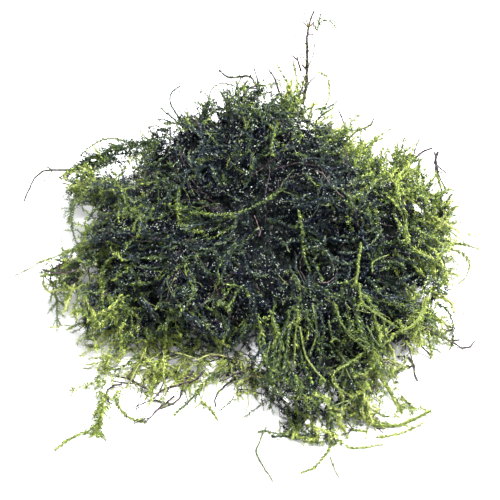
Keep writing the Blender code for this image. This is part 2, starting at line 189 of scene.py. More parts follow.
# Where the fringes are full and feathery: middle, reach
FEATHERY = (
    ((-38, -21, 3), 6),
    ((-24, -24, 2), 6),
    ((-10, -26, 2), 5),
    ((40, -24, 4), 6),
    ((36, -32, 2), 5),
)

# The tongue at the front, where long shoots lie side by side: middle, reach, sides and back
TONGUE = (14, -34, 8)
TONGUE_REACH = 12
TONGUE_SIDES = (-4, 34)
TONGUE_BACK = -12

# Where more shoots have turned brown: middle, reach
BROWN_PATCHES = (
    ((-10, 34, 30), 6),
    ((-31, 22, 20), 9),
    ((36, 27, 20), 6),
    ((22, -22, 12), 6),
    ((46, -12, 6), 7),
    ((-24, 2, 24), 10),
)


def settings():
    return bpy.context.scene.moss_clump


def nearness(place, patches):
    """How close a place is to the nearest of some patches: 1 at a middle, 0 far away."""
    return max(math.exp(-(math.dist(place, middle) / reach) ** 2) for middle, reach in patches)


def looseness(place):
    """How loose the moss is at a place: 0 where it is matted, 1 where hardly any of it is left."""
    return min(1.0, 1.6 * nearness(place, LOOSE))


def in_fringe(place):
    return any(all(low[k] < place[k] < high[k] for k in range(3)) for low, high in FRINGES)


class MossSettings(bpy.types.PropertyGroup):
    """Sizes, numbers of shoots and colours of the clump."""

    leaf_length: FloatProperty(
        name="Leaf length", description="Length of one leaf", default=1.1 * MM, unit="LENGTH")
    leaf_width: FloatProperty(
        name="Leaf width", description="Width of one leaf", default=0.32 * MM, unit="LENGTH")
    leaf_spread: FloatProperty(
        name="Leaf spread", description="Angle between a leaf and its stem",
        default=math.radians(54), subtype="ANGLE")
    stem_radius: FloatProperty(
        name="Stem radius", description="Radius of a leafy stem", default=0.17 * MM, unit="LENGTH")
    moss_depth: FloatProperty(
        name="Moss depth", description="Depth of the layer of leafy shoots",
        default=4.0 * MM, unit="LENGTH")
    deep_shoots: IntProperty(
        name="Deep shoots", description="Dark shoots that make up the matted body", default=1150, min=1)
    deep_branches: IntProperty(
        name="Deep branches", description="Side branches of the deep shoots", default=500, min=0)
    top_shoots: IntProperty(
        name="Top shoots", description="Full feathery shoots that lie on top", default=500, min=1)
    top_branches: IntProperty(
        name="Top branches", description="Side branches of the top shoots", default=700, min=0)
    tips: IntProperty(
        name="Tips", description="Short shoots that stick out of the body", default=900, min=0)
    rim_fronds: IntProperty(
        name="Rim fronds", description="Longer shoots that stick out all round", default=420, min=0)
    fluff: IntProperty(
        name="Fluff", description="Loose shoots that stand up from the edges", default=500, min=0)
    fine_stems: IntProperty(
        name="Fine stems", description="Thin bare stems that run through the moss", default=130, min=0)
    fringe_shoots: IntProperty(
        name="Fringe shoots", description="Pale loose shoots along the front edge", default=370, min=0)
    roughness: FloatProperty(
        name="Leaf roughness", description="Roughness of a wet leaf",
        default=0.28, min=0, max=1, subtype="FACTOR")
    coat: FloatProperty(
        name="Wet film", description="Weight of the film of water on the leaves",
        default=0.12, min=0, max=1, subtype="FACTOR")
    see_through: FloatProperty(
        name="See-through", description="Share of light that passes through a leaf",
        default=0.28, min=0, max=1, subtype="FACTOR")
    floor_colour: FloatVectorProperty(
        name="Floor colour", description="Colour of the floor",
        default=(0.86, 0.86, 0.87), subtype="COLOR")
    key_power: FloatProperty(
        name="Key light", description="Power of the light behind the clump", default=62, unit="POWER")
    top_power: FloatProperty(
        name="Top light", description="Power of the broad light above the clump",
        default=16, unit="POWER")
    fill_power: FloatProperty(
        name="Fill light", description="Power of the light over the camera", default=9, unit="POWER")
    sky: FloatProperty(
        name="Surroundings", description="Brightness of the white surroundings", default=0.05, min=0)


# Small helpers

def new_object(name, mesh):
    thing = bpy.data.objects.new(name, mesh)
    bpy.context.scene.collection.objects.link(thing)
    return thing


def finish_piece(piece, material, node):
    """Gives a piece its material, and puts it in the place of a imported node."""
    piece.data.materials.append(material)
    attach(piece, "root")
    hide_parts(node)


def shake(rng, amount):
    """A random vector, of about the amount along each axis."""
    return Vector([rng.gauss(0, amount) for _ in range(3)])


# The leaf and the joint, from which every shoot is put together

def form_arrays(form):
    """A bmesh as arrays of points in millimetres and of triangles."""
    bmesh.ops.recalc_face_normals(form, faces=form.faces)
    bmesh.ops.triangulate(form, faces=form.faces)
    form.verts.index_update()
    points = np.array([v.co for v in form.verts]) / MM
    faces = np.array([[v.index for v in f.verts] for f in form.faces])
    form.free()
    return points, faces


def leaf_form(length, width):
    """A leaf along +X, folded a little along its middle, with its place on the colour map."""
    form = bmesh.new()
    widest = 0.40 * length
    fold = 0.22 * width
    corners = ((0, 0, 0), (widest, -width / 2, fold), (widest, width / 2, fold), (length, 0, 0.02 * length))
    for corner in corners:
        form.verts.new(Vector(corner) * MM)
    bmesh.ops.convex_hull(form, input=form.verts)
    points, faces = form_arrays(form)
    along = points[:, 0] / length
    across = points[:, 1] / width
    return points, faces, np.stack([across * MAP_WIDTH, 0.02 + 0.34 * along], axis=1)


def stem_form(radius, length, taper):
    """A three-sided tapering stem along +X, with its place on the colour map."""
    form = bmesh.new()
    turn = Matrix.Rotation(math.radians(90), 4, "Y")
    bmesh.ops.create_cone(form, cap_ends=True, segments=3, radius1=radius * MM, radius2=radius * taper * MM,
                          depth=length * MM, matrix=Matrix.Translation((0.5 * length * MM, 0, 0)) @ turn)
    bmesh.ops.remove_doubles(form, verts=form.verts, dist=1e-7)
    points, faces = form_arrays(form)
    along = points[:, 0] / length
    across = points[:, 1] / radius
    up_the_map = 0.80 + 0.17 * along + 0.01 * points[:, 2]
    return points, faces, np.stack([across * (MAP_WIDTH / 2), up_the_map], axis=1)


def turned(points, spread, roll):
    """Points turned away from +X by the spread, then rolled round it."""
    lean = np.array(Matrix.Rotation(spread, 3, "Z"))
    roll = np.array(Matrix.Rotation(roll, 3, "X"))
    return points @ lean.T @ roll.T


class Kind:
    """A kind of shoot: the length of its joints and several forms of one joint."""

    def __init__(self, seed, count, pitch, leaves, length, width, spread, stem,
                 taper=0.0, flat=True, glints=0.0, jitter=0.05):
        rng = random.Random(seed)
        self.pitch = pitch
        self.forms = []
        for _ in range(count):
            # A pointed stem runs on into the next joint, and a blunt one ends a little way into it
            parts = [stem_form(stem, pitch * (1.1 if taper else 1.8), taper)]
            for index in range(rng.choice(leaves)):
                glinting = rng.random() < glints
                size = rng.uniform(0.8, 1.15) * (0.55 if glinting else 1)
                points, faces, mapped = leaf_form(length * size, width * rng.uniform(0.8, 1.15))
                if glinting:
                    mapped[:, 0] += GLINT_MARK + rng.uniform(-0.04, 0.02)
                else:
                    mapped[:, 0] += rng.gauss(0, jitter)
                row = math.pi * index + rng.gauss(0, 0.45 if flat else 1.4)
                twist = np.array(Matrix.Rotation(rng.gauss(0, 0.5), 3, "X"))
                points = turned(points @ twist.T, spread * rng.uniform(0.75, 1.25), row)
                points = points + np.array([pitch * (index + rng.uniform(0.1, 0.9)) / max(leaves), 0, 0])
                parts.append((points, faces, mapped))
            self.forms.append(joined(parts))


def joined(parts):
    """Several forms as one: points, faces and places on the colour map."""
    points = np.concatenate([part[0] for part in parts])
    offsets = np.cumsum([0] + [len(part[0]) for part in parts[:-1]])
    faces = np.concatenate([part[1] + offset for part, offset in zip(parts, offsets)])
    return points, faces, np.concatenate([part[2] for part in parts])


def make_kinds():
    """The kinds of shoot that the clump is made of."""
    chosen = settings()
    length, width = chosen.leaf_length / MM, chosen.leaf_width / MM
    stem, spread = chosen.stem_radius / MM, chosen.leaf_spread
    return {
        "deep": Kind(1, 12, 1.8, (5, 6), length * 1.2, width * 1.2, spread, stem,
                     glints=0.32, jitter=0.12),
        "leafy": Kind(2, 12, 1.8, (6,), length, width, spread, stem,
                      glints=0.06, jitter=0.13),
        "plume": Kind(3, 12, 1.5, (8,), length * 1.1, width * 1.15, spread * 0.8, stem * 1.5,
                      taper=0.9, glints=0.05, jitter=0.12),
        "smooth": Kind(4, 8, 1.5, (8,), length * 1.2, width * 1.5, 0.24, stem * 2.2,
                       taper=0.9, flat=False, jitter=0.04),
        "bare": Kind(5, 8, 1.8, (0, 1, 2), length * 0.7, width, 0.6, stem * 1.4,
                     taper=0.9, flat=False, glints=0.1),
        "fine": Kind(6, 4, 1.7, (0,), length, width, 0.6, stem * 0.8, taper=0.9),
        "thread": Kind(7, 2, 1.2, (0,), length, width, 0.6, stem * 1.8, taper=0.95),
    }


# Shoots: a shoot is its points, the direction it faces at each, its tone, size and kind of joint

class Shoots:
    """Shoots that become one mesh: the joints of all of them, as arrays."""

    def __init__(self):
        self.joints = []

    def add(self, points, ups, tones, sizes, kind, cool=False):
        count = len(points) - 1
        tones, sizes = np.broadcast_to(tones, count), np.broadcast_to(sizes, count)
        kinds, cool = np.repeat(kind, count), np.repeat(cool, count)
        self.joints.append((points[:-1], points[1:], ups[:-1], tones, sizes, kinds, cool))

    def mesh(self, name, all_kinds, rng):
        """Every joint placed along its shoot, joined in one mesh."""
        starts, ends, ups, tones, sizes, kinds, cool = (np.concatenate(rows) for rows in zip(*self.joints))
        turns = joint_turns(ends - starts, ups + rng.normal(0, 0.35, ups.shape))
        points, faces, mapped, offset = [], [], [], 0
        for kind, made in all_kinds.items():
            picked = rng.integers(0, len(made.forms), len(kinds))
            for number, (form, triangles, place) in enumerate(made.forms):
                here = np.flatnonzero((kinds == kind) & (picked == number))
                if len(here) == 0:
                    continue
                placed = np.einsum("vk,nkj->nvj", form, turns[here]) * sizes[here, None, None]
                placed = pressed(placed + starts[here, None, :])
                points.append(placed.reshape(-1, 3))
                steps = offset + np.arange(len(here)) * len(form)
                faces.append((triangles[None] + steps[:, None, None]).reshape(-1, 3))
                spots = coloured(place, tones[here, None], cool[here, None])
                mapped.append(spots[:, triangles.reshape(-1)].reshape(-1, 2))
                offset += len(here) * len(form)
        return mesh_from_arrays(name, np.concatenate(points), np.concatenate(faces), np.concatenate(mapped))


def unit(rows):
    """Rows of vectors, each made one long."""
    return rows / np.maximum(np.linalg.norm(rows, axis=1, keepdims=True), 1e-6)


def joint_turns(ahead, ups):
    """How each joint is turned: ahead, to its side and up."""
    ahead = unit(ahead)
    side = unit(np.cross(ups, ahead))
    return np.stack([ahead, side, np.cross(ahead, side)], axis=1)


def pressed(points):
    """Points with those near the floor or under it pressed flat on it."""
    sunk = np.minimum(points[..., 2] - FLOOR_SKIN, 0)
    points[..., 2] = np.maximum(points[..., 2], FLOOR_SKIN) * np.exp(sunk / FLOOR_SKIN)
    return points


def coloured(place, tones, cool):
    """The places on the colour map of joints of one form, moved by their tones."""
    spots = np.repeat(place[None], len(tones), axis=0)
    glinting = place[:, 0] > GLINT_MARK / 2
    past_green = (tones > GREEN_END) | glinting
    spots[..., 0] += np.where(glinting, GLINT_TONE - GLINT_MARK, tones)
    least = np.where(past_green, GREEN_END + 0.03, 0.02)
    most = np.where(past_green, 0.98, GREEN_END - 0.01)
    spots[..., 0] = np.clip(spots[..., 0], least, most)
    bluish = cool & (place[:, 1] < COOL_BAND) & ~glinting
    spots[..., 1] += np.where(bluish, COOL_BAND, 0)
    return spots


def mesh_from_arrays(name, points, faces, mapped=None):
    mesh = bpy.data.meshes.new(name)
    mesh.vertices.add(len(points))
    mesh.vertices.foreach_set("co", (points * MM).astype(np.float32).ravel())
    mesh.loops.add(faces.size)
    mesh.loops.foreach_set("vertex_index", faces.astype(np.int32).ravel())
    mesh.polygons.add(len(faces))
    mesh.polygons.foreach_set("loop_start", np.arange(len(faces), dtype=np.int32) * 3)
    mesh.update(calc_edges=True)
    if mapped is not None:
        layer = mesh.uv_layers.new(name=COLOUR_MAP)
        layer.uv.foreach_set("vector", mapped.astype(np.float32).ravel())
    return mesh


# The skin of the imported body, which the shoots follow

class Skin:
    """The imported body's surface in millimetres, for finding the nearest place on it."""

    def __init__(self, node):
        mesh = frame["nodes"][node].data
        mesh.calc_loop_triangles()
        self.points = np.empty(len(mesh.vertices) * 3)
        mesh.vertices.foreach_get("co", self.points)
        self.points = self.points.reshape(-1, 3) / MM
        self.faces = np.empty(len(mesh.loop_triangles) * 3, dtype=np.int32)
        mesh.loop_triangles.foreach_get("vertices", self.faces)
        self.faces = self.faces.reshape(-1, 3)
        self.tree = BVHTree.FromPolygons(self.points.tolist(), self.faces.tolist())
        self.corners = self.points[self.faces]
        first, second, third = self.corners.swapaxes(0, 1)
        normals = np.cross(second - first, third - first)
        self.areas = np.linalg.norm(normals, axis=1) / 2
        self.normals = normals / np.maximum(2 * self.areas, 1e-9)[:, None]

    def crossings(self, start, direction):
        """Heights at which a line crosses the skin."""
        heights = []
        hit = self.tree.ray_cast(start, direction)[0]
        while hit:
            heights.append(hit.z)
            hit = self.tree.ray_cast(hit + direction * 0.01, direction)[0]
        return heights

    def scatter(self, count, weights, rng):
        """Random places on the skin, with the normal at each."""
        chances = self.areas * weights
        picked = rng.choice(len(self.faces), count, p=chances / chances.sum())
        a, b = rng.random((2, count, 1))
        flip = a + b > 1
        a, b = np.where(flip, 1 - a, a), np.where(flip, 1 - b, b)
        first, second, third = self.corners[picked].swapaxes(0, 1)
        places = first + a * (second - first) + b * (third - first)
        return places, self.normals[picked]


def edge_at(place):
    """How far out a place lies: 0 in the middle of the clump, about 1 at its edge."""
    return math.hypot(place[0] / EDGE_HALF_WIDTH, (place[1] - EDGE_MIDDLE_Y) / EDGE_HALF_DEPTH)


def tone_at(place):
    """How pale the moss is at a place: darker in the middle, partly as painted shade of the dense mat,
    paler at the edge and in some patches.
    """
    tone = 0.15 + 0.15 * edge_at(place) ** 4
    for middle, reach, change in PATCHES:
        distance = math.dist(place, middle) / reach
        tone += change * math.exp(-distance * distance)
    return tone


def flow_at(place, normal):
    """The direction that most shoots take at a place: outwards and downhill, with broad swirls."""
    outwards = Vector((place.x, place.y - FLOW_MIDDLE_Y, 0)).normalized() + Vector((0, 0, -0.25))
    swirl = noise.noise_vector(place / SWIRL_WIDTH) * SWIRL
    if place.y < TONGUE_BACK and TONGUE_SIDES[0] < place.x < TONGUE_SIDES[1]:
        outwards = Vector((0.02 * (place.x - TONGUE[0]), -1.6, -0.3))
        swirl *= 0.4
    heading = outwards + swirl
    return heading - normal * heading.dot(normal)


def grow(skin, start, normal, heading, joints, step, depth, lift, wander, rng):
    """A shoot that follows the skin at a depth below it and leaves it by the lift towards its tip."""
    place, points, ups = start.copy(), [start.copy()], [normal.copy()]
    heading = heading.normalized()
    for index in range(joints):
        share = (index + 1) / joints
        heading += shake(rng, wander)
        ahead = place + heading.normalized() * step
        near, near_normal, _, _ = skin.tree.find_nearest(ahead)
        wanted = near + near_normal * (lift * share ** 2 - depth)
        ahead = ahead.lerp(wanted, HOLD)
        ahead.z = max(ahead.z, LOWEST_SHOOT)
        if (ahead - place).length < 0.3 * step or rng.random() < 0.5 * looseness(ahead):
            break
        heading = (ahead - place).normalized()
        place = place + heading * step
        place.z = max(place.z, LOWEST_SHOOT)
        points.append(place.copy())
        ups.append(near_normal.copy())
    return points, ups


def reach_out(start, normal, heading, joints, step, droop, wander, rng):
    """A short shoot that leaves the body and bends under its own weight."""
    place, points, ups = start.copy(), [start.copy()], [normal.copy()]
    heading = heading.normalized()
    for _ in range(joints):
        heading += shake(rng, wander) + Vector((0, 0, -droop))
        heading.normalize()
        place = place + heading * step
        place.z = max(place.z, LOWEST_SHOOT)
        points.append(place.copy())
        ups.append(normal.cross(heading).cross(heading) * -1)
    return points, ups


def body_part_of(place):
    return min(BODY_PARTS, key=lambda name: math.dist(place, BODY_PARTS[name]))


class Body:
    """The shoots of the matted body, sorted into its parts, and where on its skin they start."""

    def __init__(self, skin, kinds):
        self.skin = skin
        self.kinds = kinds
        self.rng = random.Random(11)
        self.spread = np.random.default_rng(12)
        self.parts = {name: Shoots() for name in BODY_PARTS}
        middles = skin.corners.mean(axis=1)
        facing_up = skin.normals[:, 2]

        def close_to(middle, reach):
            return np.exp(-(np.linalg.norm(middles - middle, axis=1) / reach) ** 2)

        loose = np.array([looseness(middle) for middle in middles])
        fringed = np.array([in_fringe(middle) for middle in middles])
        thin = np.clip((FRINGE_THINS_Y - middles[:, 1]) / (FRINGE_THINS_Y - FRINGE_THIN_Y), 0, 1)
        self.edges = np.array([edge_at(middle) for middle in middles])
        self.tongue = close_to(TONGUE, TONGUE_REACH)
        # How likely each sort of shoot is to start at each triangle of the skin, for its size
        self.fluffy_weights = sum(share * close_to(middle, reach) for middle, reach, share in FLUFFY)
        self.weights = np.where(facing_up < -0.7, 0.2, 1.0) * (1 - 0.9 * loose)
        self.body_weights = self.weights * np.where(fringed, 0.25 - 0.2 * thin, 1.0)
        self.fringe_weights = np.where(fringed & (facing_up > -0.5), 1 - 0.6 * thin, 0.0)
        self.fringe_weights *= np.where(middles[:, 0] > 20, 0.4 - 0.35 * loose, 1.0)
        self.rim_weights = np.where(np.abs(facing_up) < 0.6, 1.0, 0.1) * (1 - 0.8 * loose)

    def starts(self, count, weights):
        for place, normal in zip(*self.skin.scatter(count, weights, self.spread)):
            yield Vector(place), Vector(normal)

    def add(self, points, ups, size, kind, tone_shift, tone=None):
        """Keeps a shoot: its tone follows its place, or is the given one."""
        count = len(points) - 1
        if count < 1:
            return
        shares = np.linspace(0, 1, count)
        if tone is None:
            tones = np.array([tone_at(p) for p in points[:-1]]) + tone_shift + 0.10 * shares ** 2
            tones = np.clip(tones + self.spread.normal(0, 0.03, count), 0.02, GREEN_END - 0.03)
        else:
            tones = np.full(count, tone)
        sizes = size * np.where(shares > 0.85, 0.75, 1.0)
        middle = points[len(points) // 2]
        cool = self.rng.random() < 1.25 - 2.0 * float(tones.mean()) - 0.45 * edge_at(middle) ** 3
        self.parts[body_part_of(middle)].add(np.array(points), np.array(ups), tones, sizes, kind, cool)

    def trail(self, place, normal, depth, lift, joints, kind, size, scatter, wander):
        """A shoot that trails along the skin from a place on it."""
        heading = flow_at(place, normal) + shake(self.rng, scatter)
        heading -= normal * heading.dot(normal)
        start = place - normal * depth
        start.z = max(start.z, LOWEST_SHOOT)
        step = self.kinds[kind].pitch * size
        return grow(self.skin, start, normal, heading, joints, step, depth, lift, wander, self.rng)

    def branch(self, trunk, joints, kind, size, lift):
        """A side branch of a shoot."""
        points, ups, depth = trunk
        index = self.rng.randrange(1, len(points) - 1)
        ahead = (points[index + 1] - points[index]).normalized()
        side = ups[index].cross(ahead).normalized() * self.rng.choice((-1, 1))
        heading = ahead + side * self.rng.uniform(0.7, 1.4) + ups[index] * self.rng.uniform(-0.1, 0.5)
        step = self.kinds[kind].pitch * size
        return grow(self.skin, points[index], ups[index], heading, joints, step, depth, depth + lift,
                    0.14, self.rng)

    def stick_out(self, place, normal, heading, joints, kind, size, droop):
        """A shoot that leaves the body and hangs free."""
        step = self.kinds[kind].pitch * size
        heading = heading + shake(self.rng, 0.4)
        return reach_out(place - normal * ROOT_DEPTH, normal, heading, joints, step, droop, 0.15, self.rng)


def grow_deep(body):
    """Dark shoots in the depth of the mat, with their branches, painted darker the deeper they lie as
    painted shade.
    """
    rng, chosen, trunks = body.rng, settings(), []
    layer = chosen.moss_depth / MM
    for place, normal in body.starts(chosen.deep_shoots, body.body_weights):
        size, depth = rng.uniform(0.8, 1.15), 0.6 + layer * rng.random() ** 0.8
        lift, joints = rng.choice((0, 0, 1, 2)), rng.randint(7, 15)
        points, ups = body.trail(place, normal, depth, lift, joints, "deep", size, 0.55, 0.16)
        brown = rng.random() < 0.05 + 0.3 * nearness(place, BROWN_PATCHES)
        # Each millimetre deeper takes 0.04 off the tone: painted shade of the moss above
        body.add(points, ups, size, "bare" if brown else "deep", rng.gauss(-0.04, 0.10) - 0.04 * depth,
                 BROWN_TONE if brown else None)
        if len(points) > 3:
            trunks.append((points, ups, depth))
    for _ in range(chosen.deep_branches):
        size = rng.uniform(0.7, 0.95)
        trunk, joints, lift = rng.choice(trunks), rng.randint(3, 6), rng.uniform(-1, 1.5)
        twig, twig_ups = body.branch(trunk, joints, "deep", size, lift)
        body.add(twig, twig_ups, size, "deep", rng.gauss(-0.04, 0.08))


def grow_top(body):
    """Full feathery shoots on top of the mat, with their branches."""
    rng, chosen, trunks = body.rng, settings(), []
    weights = body.body_weights * np.where(body.skin.normals[:, 2] > -0.2, 1.0, 0.3)
    weights = weights * np.minimum(0.45 + 0.65 * body.edges, 1.1) * (1 - 0.4 * body.tongue)
    for place, normal in body.starts(chosen.top_shoots, weights):
        size, depth = rng.uniform(0.75, 1.15), rng.uniform(-0.6, 1.2)
        lift = depth + rng.choice((0, 0, 1, 3, 5))
        points, ups = body.trail(place, normal, depth, lift, rng.randint(6, 14), "plume", size, 0.6, 0.20)
        shift = min(rng.gauss(0.17, 0.11), 0.30)
        body.add(points, ups, size, "plume", shift)
        if len(points) > 3:
            trunks.append((points, ups, depth, shift))
    for _ in range(chosen.top_branches):
        *trunk, shift = rng.choice(trunks)
        size, joints, lift = rng.uniform(0.6, 0.9), rng.randint(3, 6), rng.uniform(-0.5, 2.5)
        twig, twig_ups = body.branch(trunk, joints, "leafy", size, lift)
        body.add(twig, twig_ups, size, "leafy", shift + rng.gauss(0.03, 0.05))


def grow_tips(body):
    """Short shoots that stick out of the mat, and longer fronds round its rim."""
    rng, chosen = body.rng, settings()
    for place, normal in body.starts(chosen.tips, body.body_weights):
        size = rng.uniform(0.7, 1.05)
        heading = normal * rng.uniform(0.5, 1.3) + flow_at(place, normal) * 0.8
        points, ups = body.stick_out(place, normal, heading, rng.randint(2, 4), "leafy", size, 0.04)
        body.add(points, ups, size, "leafy", rng.gauss(0.12, 0.10))
    for place, normal in body.starts(chosen.rim_fronds, body.rim_weights):
        size = rng.uniform(0.75, 1.05)
        heading = normal * rng.uniform(0.8, 1.4) + flow_at(place, normal) * 0.6 + Vector((0, 0, 0.3))
        kind = rng.choice(("plume", "leafy", "leafy"))
        points, ups = body.stick_out(place, normal, heading, rng.randint(4, 7), kind, size, 0.10)
        body.add(points, ups, size, kind, rng.gauss(0.22, 0.10))


def grow_fluff(body):
    """Loose leafy shoots that stand up where the clump is fluffiest."""
    rng, chosen = body.rng, settings()
    for place, normal in body.starts(chosen.fluff, body.fluffy_weights):
        size = rng.uniform(0.75, 1.05)
        heading = normal * 0.7 + Vector((place.x * 0.01, 0.5, 1.0)) + shake(rng, 0.3)
        kind = rng.choice(("plume", "leafy", "leafy"))
        points, ups = body.stick_out(place, normal, heading, rng.randint(4, 7), kind, size, 0.08)
        body.add(points, ups, size, kind, rng.gauss(0.14, 0.09))


FINE_STEM_TONES = (BROWN_TONE, BROWN_TONE, TAN_TONE, 0.60, 0.52, 0.45, 0.38)


def grow_fine_stems(body):
    """Thin bare stems, brown or pale, that run through the moss and over it."""
    rng, chosen = body.rng, settings()
    for place, normal in body.starts(chosen.fine_stems, body.weights):
        size, depth = rng.uniform(0.8, 1.1), rng.uniform(-1.0, 1.0)
        lift, joints = depth + rng.uniform(0, 2), rng.randint(4, 10)
        points, ups = body.trail(place, normal, depth, lift, joints, "fine", size, 1.0, 0.30)
        body.add(points, ups, size, "fine", 0, rng.choice(FINE_STEM_TONES))


def grow_fringe(body):
    """Pale loose shoots and thin stems that lie in front of the clump and let the light through."""
    rng, chosen = body.rng, settings()
    for place, normal in body.starts(chosen.fringe_shoots, body.fringe_weights):
        outwards = Vector((place.x * 0.6, place.y - 10, 0)).normalized()
        if rng.random() < 0.50 + 0.4 * nearness(place, FEATHERY):
            kind, size = rng.choice((("leafy", 0.6), ("leafy", 0.75), ("plume", 0.65)))
            heading = outwards + Vector((rng.gauss(0, 1.0), rng.gauss(0, 0.6), rng.gauss(0.15, 0.3)))
            joints, tone = rng.randint(3, 6), rng.uniform(0.60, 0.72)
        else:
            kind, size = rng.choice((("fine", 1.2), ("fine", 1.5), ("fine", 1.7), ("smooth", 0.6)))
            heading = outwards * 0.5
            heading += Vector((rng.gauss(0, 1.0), rng.gauss(0, 0.5), rng.gauss(0.1, 0.15)))
            joints, tone = rng.randint(2, 4), rng.choice((BROWN_TONE, 0.45, 0.55, 0.62, 0.68))
        # The shorter normal puts the root nearer the skin
        points, ups = body.stick_out(place, normal * 0.3, heading, joints, kind, size, 0.12)
        body.add(points, ups, size, kind, 0, tone)


def grow_tongue(body):
    """Long green shoots that run side by side down the tongue at the front."""
    rng = body.rng
    height = 0.6
    for x in np.arange(0, 31, 1.6):
        above = Vector((x + rng.uniform(-0.8, 0.8), rng.uniform(-24, -14), ABOVE_ALL))
        place, normal, _, _ = body.skin.tree.ray_cast(above, Vector((0, 0, -1)))
        if place is None:
            continue
        kind, size = rng.choice((("plume", 0.9), ("plume", 1.05), ("leafy", 1.0), ("smooth", 0.8)))
        heading = Vector((0.025 * (x - 12), -1, -0.2)) + shake(rng, 0.1)
        start, joints = place + normal * height, rng.randint(11, 19)
        step = body.kinds[kind].pitch * size
        points, ups = grow(body.skin, start, normal, heading, joints, step, -height, 1.5, 0.07, rng)
        body.add(points, ups, size, kind, 0, rng.uniform(0.36, 0.58))


def make_body_shoots(kinds):
    """All the shoots of the matted body, sorted into its parts."""
    body = Body(Skin(MAT), kinds)
    grow_deep(body)
    grow_top(body)
    grow_tips(body)
    grow_fluff(body)
    grow_fine_stems(body)
    grow_fringe(body)
    grow_tongue(body)
    for *style, route in FURTHER_SHOOTS:
        knots = [Vector(knot) for knot in route]
        grow_strand(body.parts[body_part_of(knots[1])], knots, style, Vector(), kinds, body.rng)
    return body.parts


# Stray shoots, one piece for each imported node

# Shorter edges than this lie round a ring of a packed stray, and longer ones lead from ring to ring
RING_EDGE = 1.65 * MM


def centre_line(node):
    """The middles of the rings of a packed stray, from its root to its tip, and the radius of its root."""
    form = bmesh.new()
    form.from_mesh(frame["nodes"][node].data)
    bmesh.ops.remove_doubles(form, verts=form.verts, dist=1e-6)
    form.verts.index_update()
    group = list(range(len(form.verts)))

    def leader(index):
        while group[index] != index:
            index = group[index]
        return index

    for edge in form.edges:
        if edge.calc_length() < RING_EDGE:
            a, b = (leader(v.index) for v in edge.verts)
            group[a] = b
    rings = {}
    for vertex in form.verts:
        rings.setdefault(leader(vertex.index), []).append(vertex.co / MM)
    middles = {key: sum(ring, Vector()) / len(ring) for key, ring in rings.items()}
    linked = {key: set() for key in rings}
    for edge in form.edges:
        a, b = (leader(v.index) for v in edge.verts)
        if a != b:
            linked[a].add(b)
            linked[b].add(a)
    form.free()
    ends = [key for key in rings if len(linked[key]) == 1]
    if len(ends) != 2:
        raise RuntimeError(f"{node} is not one run of rings: {len(rings)} rings, {len(ends)} ends")
    radii = {key: sum((co - middles[key]).length for co in rings[key]) / len(rings[key]) for key in ends}
    root = max(ends, key=radii.get)
    order = [root]
    while len(order) < len(rings):
        order.append(next(key for key in linked[order[-1]] if key not in order))
    return [middles[key] for key in order], radii[root]


def smooth_route(knots, spacing):
    """Evenly spaced points on one smooth curve through the given ones."""
    ends = [2 * knots[0] - knots[1]] + list(knots) + [2 * knots[-1] - knots[-2]]
    fine = []
    for before, start, end, after in zip(ends, ends[1:], ends[2:], ends[3:]):
        for part in range(10):
            t = part / 10
            bend = (2 * before - 5 * start + 4 * end - after) * t * t
            turn = (3 * start - before - 3 * end + after) * t ** 3
            fine.append(0.5 * (2 * start + (end - before) * t + bend + turn))
    fine.append(knots[-1])
    fine = np.array(fine)
    lengths = np.concatenate([[0], np.cumsum(np.linalg.norm(np.diff(fine, axis=0), axis=1))])
    count = max(2, round(lengths[-1] / spacing))
    wanted = np.linspace(0, lengths[-1], count + 1)
    return [Vector([np.interp(w, lengths, fine[:, k]) for k in range(3)]) for w in wanted]


